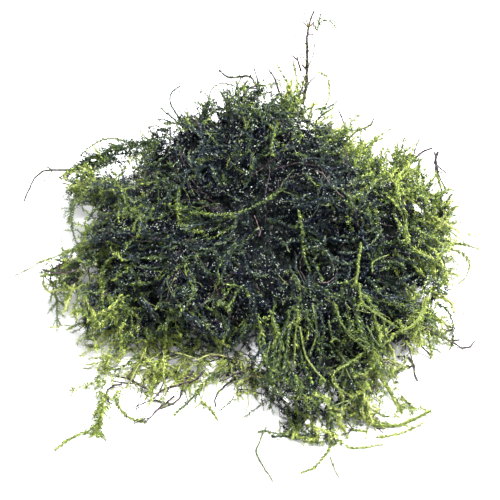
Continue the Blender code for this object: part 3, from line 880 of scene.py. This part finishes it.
# How each stray shoot grows, as its strands: kind of shoot, size, tone, side twigs for each centimetre
STRAY_STYLES = {
    "tall_sprig": (("thread", 1.3, BROWN_TONE, 0.0), ("bare", 1.5, TAN_TONE, 6.0),
                   ("leafy", 0.7, 0.58, 6.0)),
    "tall_sprig_twig": (("bare", 1.5, BROWN_TONE, 1.0),),
    "top_left_wave": (("plume", 0.85, 0.38, 5.0), ("thread", 0.9, BROWN_TONE, 0.0)),
    "top_dark_twig": (("bare", 1.6, BROWN_TONE, 4.0), ("leafy", 0.7, 0.45, 4.0)),
    "tall_sprig_arm": (("thread", 0.6, 0.50, 0.0), ("leafy", 1.0, 0.50, 20.0)),
    "upper_left_arc": (("plume", 1.0, 0.50, 1.0),),
    "upper_left_long_shoot": (("bare", 1.6, BROWN_TONE, 1.2), ("thread", 0.65, 0.45, 0.0)),
    "upper_left_hook": (("thread", 1.2, 0.36, 0.6),),
    "left_edge_stem": (("plume", 0.9, 0.45, 3.0),),
    "left_long_shoot": (("plume", 0.95, 0.56, 1.6),),
    "left_dangling_tuft": (("leafy", 1.1, 0.50, 10.0), ("thread", 0.65, 0.45, 0.0)),
    "brown_twig_arch": (("bare", 1.9, BROWN_TONE, 1.0),),
    "brown_twig_drop": (("bare", 1.7, BROWN_TONE, 1.0),),
    "right_pale_bundle": (("plume", 1.0, 0.60, 3.0), ("smooth", 0.8, 0.60, 1.0),
                          ("plume", 0.8, 0.63, 3.0)),
    "right_pale_shoot": (("smooth", 0.85, 0.58, 0.6), ("plume", 0.7, 0.56, 1.0)),
    "right_pale_branch": (("smooth", 0.7, 0.56, 0.0),),
    "front_hollow_shoot": (("plume", 0.75, 0.58, 0.0),),
    "lower_right_long_shoot": (("plume", 1.0, 0.63, 2.0), ("smooth", 0.8, 0.60, 1.0)),
    "lower_right_outer_shoot": (("plume", 0.85, 0.65, 1.5),),
    "lower_right_pale_trunk": (("smooth", 1.1, 0.63, 3.0), ("plume", 0.9, 0.60, 3.0),
                               ("plume", 0.8, 0.64, 3.0)),
    "bottom_pale_arc": (("plume", 0.8, 0.64, 1.0),),
    "bottom_pale_sweep": (("plume", 0.9, 0.63, 1.5),),
    "bottom_thin_shoot": (("thread", 1.0, 0.52, 0.0),),
    "bottom_shoot": (("plume", 0.9, 0.58, 1.5),),
    "bottom_right_fork": (("bare", 1.1, 0.56, 1.0),),
    "front_left_tuft": (("leafy", 1.15, 0.60, 34.0), ("plume", 0.9, 0.62, 12.0)),
    "front_left_leafy_arm": (("leafy", 1.0, 0.60, 16.0), ("leafy", 0.8, 0.62, 10.0)),
    "left_brown_stem": (("leafy", 1.0, 0.45, 5.0), ("bare", 1.3, BROWN_TONE, 1.0)),
}
# How every other stray shoot grows, by its finish
STYLE_OF_FINISH = {
    "green": (("plume", 0.95, 0.48, 2.0),),
    "pale": (("plume", 1.0, 0.61, 1.5),),
    "brown": (("bare", 1.5, BROWN_TONE, 0.8),),
}

# Shoots that can be followed too but belong to the matted body: a strand as above, then its route
FURTHER_SHOOTS = (
    ("thread", 0.8, BROWN_TONE, 0.5,
     ((14, 53, 25), (15, 54, 31), (17, 57, 36), (18, 59, 40), (17, 61, 43))),
    ("thread", 0.8, 0.50, 0.5, ((-12, 53, 22), (-11, 56, 25), (-9, 58, 26), (-6, 57, 27), (-3, 55, 27))),
    ("bare", 1.3, BROWN_TONE, 0.5, ((3, 53, 27), (2, 55, 31), (1, 57, 34))),
    ("bare", 1.4, BROWN_TONE, 1.0, ((28, 45, 17), (26, 50, 20), (25, 52, 22))),
    ("leafy", 1.0, 0.30, 6.0, ((-24, 43, 15), (-28, 43, 15), (-31, 42, 14), (-34, 41, 13))),
    ("bare", 1.5, BROWN_TONE, 1.0, ((52, 42, 15), (53, 37, 12), (55, 33, 9))),
    ("bare", 1.2, 0.50, 1.0, ((52, 32, 8), (56, 33, 9), (59, 33, 8))),
    ("leafy", 0.8, 0.70, 2.0, ((54, 12, 8), (57, 14, 9), (59, 16, 9), (61, 16, 9))),
    ("leafy", 0.8, 0.66, 2.0, ((56, 2, 7), (54, -2, 6), (51, -4, 6))),
    ("leafy", 0.8, 0.72, 2.0, ((51, -13, 3), (55, -10, 2), (57, -7, 1), (59, -4, 1))),
    ("leafy", 0.9, 0.55, 2.0, ((49, -12, 3), (51, -19, 1), (52, -23, 1))),
    ("bare", 1.5, BROWN_TONE, 1.0, ((42, -14, 4), (47, -18, 2), (49, -20, 1))),
    ("bare", 1.3, BROWN_TONE, 0.5, ((25, -37, 4), (30, -40, 1), (33, -43, 1), (35, -45, 1))),
    ("bare", 1.2, 0.62, 0.5, ((-12, -29, 3), (-13, -35, 1), (-15, -37, 1))),
    ("bare", 1.3, BROWN_TONE, 0.5, ((-20, -33, 1), (-25, -38, 1), (-28, -42, 1))),
    ("bare", 1.3, BROWN_TONE, 0.5, ((-34, -29, 1), (-37, -30, 1), (-38, -32, 1), (-37, -37, 1))),
    ("leafy", 0.7, 0.70, 2.0, ((-40, -37, 1), (-43, -41, 1), (-44, -43, 1))),
    ("leafy", 0.7, 0.66, 1.0, ((-39, -13, 7), (-44, -15, 4), (-47, -16, 1))),
    ("bare", 1.4, BROWN_TONE, 1.0, ((-45, 2, 15), (-49, 1, 16), (-51, 1, 15), (-53, 0, 14))),
    ("leafy", 0.7, 0.55, 1.0, ((-48, 20, 16), (-50, 19, 16), (-52, 20, 15))),
    ("leafy", 0.7, 0.55, 1.0, ((-48, 11, 17), (-49, 11, 17), (-51, 12, 16))),
    ("leafy", 0.75, 0.68, 14.0, ((-30, -14, 6), (-36, -17, 5), (-44, -19, 3))),
    ("leafy", 0.75, 0.66, 14.0, ((-30, -16, 5), (-37, -21, 3), (-43, -23, 2))),
    ("leafy", 0.75, 0.64, 14.0, ((-28, -18, 4), (-34, -24, 2), (-41, -27, 2))),
    ("leafy", 0.75, 0.68, 14.0, ((-33, -13, 7), (-39, -15, 5), (-45, -15, 3))),
    ("leafy", 0.80, 0.64, 12.0, ((-22, -20, 3), (-25, -27, 2), (-31, -31, 2))),
    ("leafy", 0.80, 0.66, 12.0, ((-16, -22, 3), (-17, -28, 2), (-20, -33, 2))),
    ("leafy", 0.80, 0.60, 10.0, ((-6, -24, 4), (-9, -29, 2), (-8, -33, 2))),
    ("leafy", 0.9, 0.34, 16.0, ((-26, 42, 18), (-33, 41, 18), (-40, 40, 18), (-46, 38, 16))),
    ("leafy", 0.8, 0.45, 8.0, ((-26, 42, 18), (-33, 41, 18), (-40, 40, 18), (-46, 38, 16))),
    ("leafy", 0.9, 0.38, 14.0, ((-28, 39, 19), (-35, 37, 18), (-42, 37, 16), (-47, 34, 14))),
    ("leafy", 0.8, 0.48, 12.0, ((-47, 36, 15), (-50, 31, 15), (-50, 25, 14), (-49, 18, 13))),
    ("leafy", 0.8, 0.62, 14.0, ((44, -12, 5), (49, -14, 3), (53, -15, 2))),
    ("leafy", 0.8, 0.50, 10.0, ((42, -15, 5), (46, -18, 3), (50, -18, 2))),
    ("thread", 0.7, BROWN_TONE, 0.5, ((-37, -28, 1), (-30, -30, 2), (-24, -33, 1))),
    ("thread", 0.6, BROWN_TONE, 0.5, ((-28, -27, 2), (-29, -33, 1), (-30, -38, 1))),
    ("thread", 0.7, BROWN_TONE, 0.5, ((-22, -27, 2), (-25, -33, 1), (-31, -37, 1))),
    ("thread", 0.6, 0.45, 0.5, ((-33, -27, 2), (-27, -33, 1), (-20, -36, 1))),
    ("leafy", 0.7, 0.68, 12.0, ((-38, -24, 2), (-36, -30, 1), (-33, -34, 1))),
    ("leafy", 0.7, 0.68, 12.0, ((-30, -25, 2), (-34, -31, 1), (-39, -33, 1))),
    ("leafy", 0.7, 0.66, 10.0, ((-20, -26, 2), (-23, -32, 1), (-22, -37, 1))),
    ("plume", 1.0, 0.30, 16.0, ((-27, 43, 17), (-34, 42, 17), (-42, 40, 16), (-48, 38, 15))),
    ("plume", 1.0, 0.40, 14.0, ((-25, 44, 18), (-31, 43, 18), (-38, 41, 18), (-43, 38, 16))),
    ("plume", 1.0, 0.26, 16.0, ((-24, 41, 17), (-30, 40, 17), (-38, 39, 17), (-46, 37, 15))),
    ("leafy", 1.1, 0.34, 18.0, ((-24, 43, 16), (-31, 42, 18), (-37, 40, 17), (-42, 40, 15))),
    ("leafy", 0.9, 0.14, 16.0, ((-4, -22, 6), (-1, -27, 4), (1, -31, 3))),
    ("leafy", 0.9, 0.12, 16.0, ((-1, -20, 8), (1, -26, 5), (2, -31, 3))),
    ("leafy", 0.9, 0.18, 14.0, ((-6, -23, 5), (-4, -28, 3), (-3, -31, 2))),
    ("leafy", 0.9, 0.56, 14.0, ((30, -28, 5), (34, -33, 3), (36, -38, 2))),
    ("leafy", 0.9, 0.52, 14.0, ((26, -34, 5), (31, -38, 3), (34, -42, 2))),
    ("leafy", 0.8, 0.50, 12.0, ((13, -42, 4), (14, -45, 2), (17, -48, 1))),
    ("leafy", 0.8, 0.60, 12.0, ((-20, -24, 3), (-24, -28, 2), (-27, -31, 1))),
    ("leafy", 0.8, 0.56, 12.0, ((46, -8, 6), (50, -13, 4), (54, -15, 2))),
    ("leafy", 0.9, 0.58, 14.0, ((29, 42, 19), (32, 45, 21), (34, 47, 22))),
    ("leafy", 0.9, 0.60, 14.0, ((33, 40, 18), (36, 43, 20), (37, 45, 22))),
    ("leafy", 0.9, 0.54, 14.0, ((26, 44, 20), (29, 47, 22), (31, 48, 25))),
    ("leafy", 0.9, 0.46, 14.0, ((-3, 51, 26), (-3, 53, 29), (-1, 55, 31))),
    ("leafy", 0.9, 0.50, 16.0, ((2, 51, 26), (3, 53, 29), (4, 55, 32))),
    ("leafy", 0.8, 0.54, 14.0, ((6, 50, 27), (6, 52, 31), (8, 54, 33))),
    ("leafy", 0.8, 0.42, 12.0, ((0, 51, 26), (4, 54, 29), (8, 54, 30))),
    ("leafy", 0.9, 0.62, 16.0, ((37, -20, 5), (38, -26, 4), (39, -32, 2), (41, -37, 1))),
    ("leafy", 0.8, 0.64, 12.0, ((30, -37, 3), (35, -40, 2), (41, -39, 1), (46, -36, 1))),
    ("plume", 0.8, 0.62, 4.0, ((26, -41, 3), (31, -41, 2), (36, -42, 1), (43, -43, 1))),
    ("plume", 1.0, 0.50, 2.0, ((2, -17, 16), (4, -25, 11), (5, -30, 9), (6, -35, 6), (5, -39, 3))),
    ("plume", 1.1, 0.56, 2.0, ((6, -19, 17), (9, -27, 12), (11, -32, 9), (12, -38, 6), (13, -45, 3))),
    ("smooth", 0.9, 0.58, 2.0, ((13, -22, 17), (15, -29, 12), (20, -35, 9), (21, -41, 6), (20, -46, 2))),
)


def grow_strand(shoots, route, style, aside, kinds, rng):
    """One strand with its leaves and side twigs, along a route and a little aside from it."""
    kind, size, tone, twigs = style
    pitch = kinds[kind].pitch * size
    points = [p + noise.noise_vector(p / 3) * 0.25 for p in smooth_route(route, pitch)]
    count = len(points) - 1
    points = [p + aside * (1 - 0.6 * i / count) for i, p in enumerate(points)]
    for p in points:
        p.z = max(p.z, LOWEST_STRAND)
    ups = [Vector((0, 0, 1)) + shake(rng, 0.3) for _ in points]
    tones = tone + np.array([rng.gauss(0, 0.02) for _ in range(count)])
    shoots.add(np.array(points), np.array(ups), tones, size * np.linspace(1.1, 0.85, count), kind)
    twig_kind = "bare" if tone > GREEN_END else "leafy"
    for _ in range(round(twigs * pitch * count / 10)):
        index = rng.randrange(0, count)
        ahead = (points[index + 1] - points[index]).normalized()
        side = ups[index].cross(ahead).normalized() * rng.choice((-1, 1))
        small = size * rng.uniform(0.6, 0.8)
        heading, joints = ahead + side * rng.uniform(0.6, 1.3), rng.randint(1, 3)
        step = kinds[twig_kind].pitch * small
        twig, twig_ups = reach_out(points[index], ups[index], heading, joints, step, 0.03, 0.12, rng)
        shoots.add(np.array(twig), np.array(twig_ups), tone, small, twig_kind)


def make_stray(node, finish, kinds, number):
    """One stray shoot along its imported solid."""
    strands = STRAY_STYLES.get(node, STYLE_OF_FINISH[finish])
    rng = random.Random(100 + number)
    route, radius = centre_line(node)
    shoots = Shoots()
    for index, style in enumerate(strands):
        aside = Vector()
        if index > 0:
            aside = Vector([rng.uniform(-0.7, 0.7) for _ in range(3)]) * min(radius, 1)
        grow_strand(shoots, route, style, aside, kinds, rng)
    mesh = shoots.mesh(f"{node}_leaves", kinds, np.random.default_rng(200 + number))
    return new_object(f"{node}_leaves", mesh)


# Materials

# Stops across the colour map, from dark to pale green, then brown, tan and glint: place, colour
LEAF_STOPS = (
    (0.00, (0.001, 0.002, 0.004, 1)),
    (0.18, (0.0066, 0.0107, 0.0118, 1)),
    (0.36, (0.037, 0.065, 0.035, 1)),
    (0.54, (0.142, 0.215, 0.048, 1)),
    (0.66, (0.342, 0.430, 0.088, 1)),
    (0.76, (0.640, 0.715, 0.205, 1)),
    (0.79, (0.046, 0.038, 0.026, 1)),
    (0.85, (0.066, 0.054, 0.036, 1)),
    (0.87, (0.190, 0.150, 0.085, 1)),
    (0.91, (0.240, 0.195, 0.110, 1)),
    (0.93, (0.500, 0.540, 0.620, 1)),
    (1.00, (0.620, 0.680, 0.800, 1)),
)
# Colours that the leaf colour is multiplied by
YELLOWISH = (1.00, 1.03, 0.76, 1)
BLUISH = (1.00, 0.93, 2.20, 1)
STEM_TINT = (0.96, 0.87, 0.66, 1)
SEE_THROUGH_TINT = (0.87, 1.00, 0.50, 1)


def new_material(name):
    """A new material with its nodes and its shader."""
    material = bpy.data.materials.new(name)
    material.use_nodes = True
    return material, material.node_tree, material.node_tree.nodes["Principled BSDF"]


def feed(tree, socket, value):
    """Links a node's output to a socket, or gives the socket a value of its own."""
    if isinstance(value, bpy.types.NodeSocket):
        tree.links.new(value, socket)
    else:
        socket.default_value = value


def worked_out(tree, operation, *values):
    """The result of a math node."""
    node = tree.nodes.new("ShaderNodeMath")
    node.operation = operation
    for socket, value in zip(node.inputs, values):
        feed(tree, socket, value)
    return node.outputs["Value"]


def mixed(tree, factor, first, second, blend="MIX"):
    """Two colours mixed, multiplied or added."""
    node = tree.nodes.new("ShaderNodeMix")
    node.data_type = "RGBA"
    node.blend_type = blend
    feed(tree, node.inputs["Factor"], factor)
    feed(tree, node.inputs["A"], first)
    feed(tree, node.inputs["B"], second)
    return node.outputs["Result"]


def brightened(tree, colour, amount):
    """A colour times an amount."""
    node = tree.nodes.new("ShaderNodeVectorMath")
    node.operation = "SCALE"
    feed(tree, node.inputs[0], colour)
    feed(tree, node.inputs["Scale"], amount)
    return node.outputs["Vector"]


def ramped(tree, value, stops):
    """The colour that lies at a value between stops."""
    node = tree.nodes.new("ShaderNodeValToRGB")
    elements = node.color_ramp.elements
    while len(elements) < len(stops):
        elements.new(0.5)
    for element, (position, colour) in zip(elements, stops):
        element.position = position
        element.color = colour
    feed(tree, node.inputs["Fac"], value)
    return node.outputs["Color"]


def noisy(tree, place, fineness):
    """Smooth noise at a place."""
    node = tree.nodes.new("ShaderNodeTexNoise")
    node.inputs["Scale"].default_value = fineness
    node.inputs["Detail"].default_value = 1
    feed(tree, node.inputs["Vector"], place)
    return node.outputs["Fac"]


def make_leaf_material(name):
    """Wet moss: the tone of each shoot and the place along each leaf are read from the colour map."""
    chosen = settings()
    material, tree, shader = new_material(name)
    place = tree.nodes.new("ShaderNodeUVMap")
    place.uv_map = COLOUR_MAP
    split = tree.nodes.new("ShaderNodeSeparateXYZ")
    feed(tree, split.inputs["Vector"], place.outputs["UV"])
    across, up = split.outputs["X"], split.outputs["Y"]

    base_to_tip = tree.nodes.new("ShaderNodeMapRange")
    feed(tree, base_to_tip.inputs["Value"], worked_out(tree, "MODULO", up, COOL_BAND))
    base_to_tip.inputs["From Max"].default_value = COOL_BAND
    base_to_tip.inputs["To Min"].default_value = 0.55
    base_to_tip.inputs["To Max"].default_value = 1.25
    shaded = brightened(tree, ramped(tree, across, LEAF_STOPS), base_to_tip.outputs["Result"])
    tint = mixed(tree, worked_out(tree, "GREATER_THAN", up, COOL_BAND), YELLOWISH, BLUISH)
    tinted = mixed(tree, 1.0, shaded, tint, "MULTIPLY")
    on_stem = worked_out(tree, "GREATER_THAN", up, STEM_BAND)
    colour = mixed(tree, on_stem, tinted, STEM_TINT, "MULTIPLY")

    feed(tree, shader.inputs["Base Color"], colour)
    shader.inputs["Roughness"].default_value = chosen.roughness
    shader.inputs["Specular IOR Level"].default_value = 0.25
    shader.inputs["Coat Weight"].default_value = chosen.coat
    shader.inputs["Coat Roughness"].default_value = 0.08
    glow = tree.nodes.new("ShaderNodeBsdfTranslucent")
    feed(tree, glow.inputs["Color"],
         mixed(tree, 1.0, brightened(tree, colour, 1.8), SEE_THROUGH_TINT, "MULTIPLY"))
    both = tree.nodes.new("ShaderNodeMixShader")
    both.inputs["Fac"].default_value = chosen.see_through
    feed(tree, both.inputs[1], shader.outputs["BSDF"])
    feed(tree, both.inputs[2], glow.outputs["BSDF"])
    feed(tree, tree.nodes["Material Output"].inputs["Surface"], both.outputs["Shader"])
    return material


def leaf_material(name):
    return bpy.data.materials.get(name) or make_leaf_material(name)


# Layers of fine dark strokes of the tangle on the near-black painted shade inside: fineness for each metre,
# turn, seed, width, colour
STROKES = (
    (650, (0.3, 0.5, 0.2), 1.0, 0.030, (0.002, 0.003, 0.004, 1)),
    (750, (1.2, 0.2, 1.0), 2.0, 0.025, (0.003, 0.007, 0.004, 1)),
    (850, (0.4, 1.3, 2.2), 3.0, 0.018, (0.008, 0.011, 0.008, 1)),
    (950, (0.9, 0.8, 0.6), 4.0, 0.012, (0.020, 0.023, 0.019, 1)),
)
# Painted glints on it, as pale wet flecks: fineness for each metre, stops of their colour
GLINT_SPECK_FINENESS = 2400
GLINT_SPECK_STOPS = (
    (0.72, (0, 0, 0, 1)),
    (0.77, (0.26, 0.28, 0.30, 1)),
)


def make_painted_shade_material():
    """The dark tangle deep in the body as painted shade: short strokes over near black, with painted glints
    as pale wet flecks.
    """
    material, tree, shader = new_material("painted shade inside")
    place = tree.nodes.new("ShaderNodeTexCoord").outputs["Object"]
    # The near-black base is painted shade of the deep tangle
    colour = (0.0012, 0.0016, 0.0028, 1)
    for fineness, turn, seed, width, stroke_colour in STROKES:
        stretch = tree.nodes.new("ShaderNodeMapping")
        stretch.inputs["Location"].default_value = (seed, seed, seed)
        stretch.inputs["Rotation"].default_value = turn
        stretch.inputs["Scale"].default_value = (fineness, fineness * 0.3, fineness * 0.3)
        feed(tree, stretch.inputs["Vector"], place)
        tangle = noisy(tree, stretch.outputs["Vector"], 1.0)
        stroke = worked_out(tree, "COMPARE", tangle, 0.5, width)
        colour = mixed(tree, stroke, colour, stroke_colour)
    # Painted glints: pale flecks where the fine noise is high
    painted_glints = ramped(tree, noisy(tree, place, GLINT_SPECK_FINENESS), GLINT_SPECK_STOPS)
    feed(tree, shader.inputs["Base Color"], mixed(tree, 1.0, colour, painted_glints, "ADD"))
    shader.inputs["Roughness"].default_value = 0.7
    shader.inputs["Specular IOR Level"].default_value = 0.05
    return material


# The inside: a near-black shell of painted shade that shows between the shoots

# How far in it starts, as a share of the depth of the moss
INSIDE_SHARE = 0.85
INSIDE_VOXEL = 1.2 * MM
# Radius in millimetres of the smallest ball that it is made of
LEAST_BALL = 0.6
# Its relief, as broad lumps and small ones: width, height in millimetres
RELIEF = ((3.0 * MM, 2.0), (1.5 * MM, 0.9))


def make_inside():
    """A dark shell of painted shade round balls that fill the body, with a rough skin."""
    balls = inner_balls(Skin(MAT), settings().moss_depth * INSIDE_SHARE / MM)
    form = bmesh.new()
    bmesh.ops.create_icosphere(form, subdivisions=2, radius=1 * MM)
    ball, faces = form_arrays(form)
    points = np.concatenate([ball * radius + np.array(middle) for middle, radius in balls])
    steps = np.arange(len(balls)) * len(ball)
    faces = (faces[None] + steps[:, None, None]).reshape(-1, 3)
    inside = new_object("painted_shade_inside", mesh_from_arrays("painted_shade_inside", points, faces))
    inside.data = evened(inside, INSIDE_VOXEL)
    inside.modifiers.clear()
    keep_largest(inside.data)
    roughen(inside.data)
    return inside


def inner_balls(skin, depth, spacing=2.4):
    """Balls inside the skin that all stay the depth away from it: middles and radii, in millimetres."""
    low, high = skin.points.min(axis=0), skin.points.max(axis=0)
    up = Vector((0, 0, 1))
    found = []
    for x in np.arange(low[0], high[0], spacing):
        for y in np.arange(low[1], high[1], spacing):
            heights = skin.crossings(Vector((x, y, low[2] - 1)), up)
            for bottom, top in zip(heights[::2], heights[1::2]):
                for z in np.arange(bottom + depth, top - depth, spacing):
                    place = Vector((x, y, z))
                    distance = skin.tree.find_nearest(place)[3]
                    if distance > depth + LEAST_BALL + 8 * looseness(place):
                        found.append((distance - depth, place))
    found.sort(key=lambda row: -row[0])
    balls = []
    for radius, place in found:
        if all((place - middle).length > 0.5 * size for middle, size in balls):
            balls.append((place, radius))
    return balls


def evened(thing, voxel):
    """A new mesh of an object, remade from voxels."""
    remesh = thing.modifiers.new("even", "REMESH")
    remesh.mode = "VOXEL"
    remesh.voxel_size = voxel
    bpy.context.view_layer.update()
    seen = thing.evaluated_get(bpy.context.evaluated_depsgraph_get())
    return bpy.data.meshes.new_from_object(seen)


def roughen(mesh):
    """Gives the skin of the dark inside a coarse tangled relief."""
    form = bmesh.new()
    form.from_mesh(mesh)
    form.normal_update()
    for vertex in form.verts:
        lift = sum(noise.noise(vertex.co / width) * height for width, height in RELIEF)
        vertex.co += vertex.normal * lift * MM
    form.to_mesh(mesh)
    form.free()


def keep_largest(mesh):
    """Deletes the crumbs beside the largest closed shell."""
    form = bmesh.new()
    form.from_mesh(mesh)
    left, islands = set(form.verts), []
    while left:
        front, island = [left.pop()], []
        while front:
            vertex = front.pop()
            island.append(vertex)
            for edge in vertex.link_edges:
                other = edge.other_vert(vertex)
                if other in left:
                    left.discard(other)
                    front.append(other)
        islands.append(island)
    islands.sort(key=len)
    bmesh.ops.delete(form, geom=[v for island in islands[:-1] for v in island], context="VERTS")
    form.to_mesh(mesh)
    form.free()


# The stage

FLOOR_HALF_WIDTH = 3
# Lamps: name, place, size, in metres
LAMPS = (
    ("key", (0.42, 0.10, 1.05), 0.35),
    ("top", (-0.15, 0.10, 1.20), 0.90),
    ("fill", (-0.10, -0.80, 0.90), 0.60),
)
LAMP_AIM = Vector((0, 0.015, 0.010))
CAMERA_AIM = Vector((0, 16.6, 2.2)) * MM
CAMERA_RISE = math.radians(50)
CAMERA_DISTANCE = 0.62
CAMERA_LENS = 160


def make_floor(colour):
    form = bmesh.new()
    bmesh.ops.create_grid(form, x_segments=1, y_segments=1, size=FLOOR_HALF_WIDTH)
    mesh = bpy.data.meshes.new("floor")
    form.to_mesh(mesh)
    form.free()
    material, _, shader = new_material("floor")
    shader.inputs["Base Color"].default_value = (*colour, 1)
    shader.inputs["Roughness"].default_value = 0.9
    mesh.materials.append(material)
    return new_object("floor", mesh)


def make_surroundings(brightness):
    world = bpy.data.worlds.new("surroundings")
    world.use_nodes = True
    background = world.node_tree.nodes["Background"]
    background.inputs["Color"].default_value = (1, 1, 1, 1)
    background.inputs["Strength"].default_value = brightness
    return world


def aimed(thing, place, direction):
    """A lamp or a camera put at a place and pointed in a direction."""
    thing.location = place
    thing.rotation_euler = direction.to_track_quat("-Z", "Y").to_euler()
    return thing


def make_lamp(name, place, size, power):
    data = bpy.data.lights.new(name, "AREA")
    data.shape = "DISK"
    data.size = size
    data.energy = power
    return aimed(new_object(name, data), place, LAMP_AIM - place)


def make_camera():
    data = bpy.data.cameras.new("camera")
    data.lens = CAMERA_LENS
    data.sensor_width = 36
    data.clip_start = 0.01
    back = Vector((0, -math.cos(CAMERA_RISE), math.sin(CAMERA_RISE)))
    return aimed(new_object("camera", data), CAMERA_AIM + back * CAMERA_DISTANCE, -back)


# Operators

class MOSS_OT_stage(bpy.types.Operator):
    """Set up the pale floor, the soft lights and the camera"""

    bl_idname = "moss.stage"
    bl_label = "Stage"

    def execute(self, context):
        chosen = settings()
        make_floor(chosen.floor_colour)
        powers = (chosen.key_power, chosen.top_power, chosen.fill_power)
        for (name, place, size), power in zip(LAMPS, powers):
            make_lamp(name, Vector(place), size, power)
        context.scene.world = make_surroundings(chosen.sky)
        context.scene.view_settings.view_transform = "Standard"
        context.scene.camera = make_camera()
        return {"FINISHED"}


class MOSS_OT_inside(bpy.types.Operator):
    """Make the dark tangle deep in the body, painted near black as shade, which shows between the shoots"""

    bl_idname = "moss.inside"
    bl_label = "Painted Shade Inside"

    def execute(self, context):
        finish_piece(make_inside(), make_painted_shade_material(), MAT)
        return {"FINISHED"}


class MOSS_OT_body(bpy.types.Operator):
    """Grow the leafy shoots of the matted body"""

    bl_idname = "moss.body"
    bl_label = "Body Moss"

    def execute(self, context):
        kinds = make_kinds()
        for number, (name, shoots) in enumerate(make_body_shoots(kinds).items()):
            mesh = shoots.mesh(name, kinds, np.random.default_rng(30 + number))
            finish_piece(new_object(name, mesh), leaf_material("wet moss"), MAT)
        return {"FINISHED"}


class MOSS_OT_strays(bpy.types.Operator):
    """Grow leaves and twigs along every stray shoot"""

    bl_idname = "moss.strays"
    bl_label = "Stray Shoots"

    def execute(self, context):
        kinds = make_kinds()
        finishes = {row["node"]: row["material_slot"] for row in frame["record"]["subparts"]}
        strays = sorted(node for node in frame["nodes"] if node != MAT)
        for number, node in enumerate(strays):
            finish = finishes[node]
            piece = make_stray(node, finish, kinds, number)
            finish_piece(piece, leaf_material(f"wet {finish} shoot"), node)
        return {"FINISHED"}


class MOSS_PT_panel(bpy.types.Panel):
    """Lists the steps that make the clump"""

    bl_label = "Moss Clump"
    bl_idname = "MOSS_PT_panel"
    bl_space_type = "VIEW_3D"
    bl_region_type = "UI"
    bl_category = "Moss"

    def draw(self, context):
        chosen = settings()
        for name in MossSettings.__annotations__:
            self.layout.prop(chosen, name)
        for step in STEPS:
            self.layout.operator(step.bl_idname)


STEPS = (MOSS_OT_stage, MOSS_OT_inside, MOSS_OT_body, MOSS_OT_strays)
CLASSES = (MossSettings, *STEPS, MOSS_PT_panel)


def register():
    for one in CLASSES:
        bpy.utils.register_class(one)
    bpy.types.Scene.moss_clump = PointerProperty(type=MossSettings)


def unregister():
    del bpy.types.Scene.moss_clump
    for one in reversed(CLASSES):
        bpy.utils.unregister_class(one)


def main():
    register()
    bpy.ops.moss.stage()
    bpy.ops.moss.inside()
    bpy.ops.moss.body()
    bpy.ops.moss.strays()


if __name__ == "__main__":
    main()
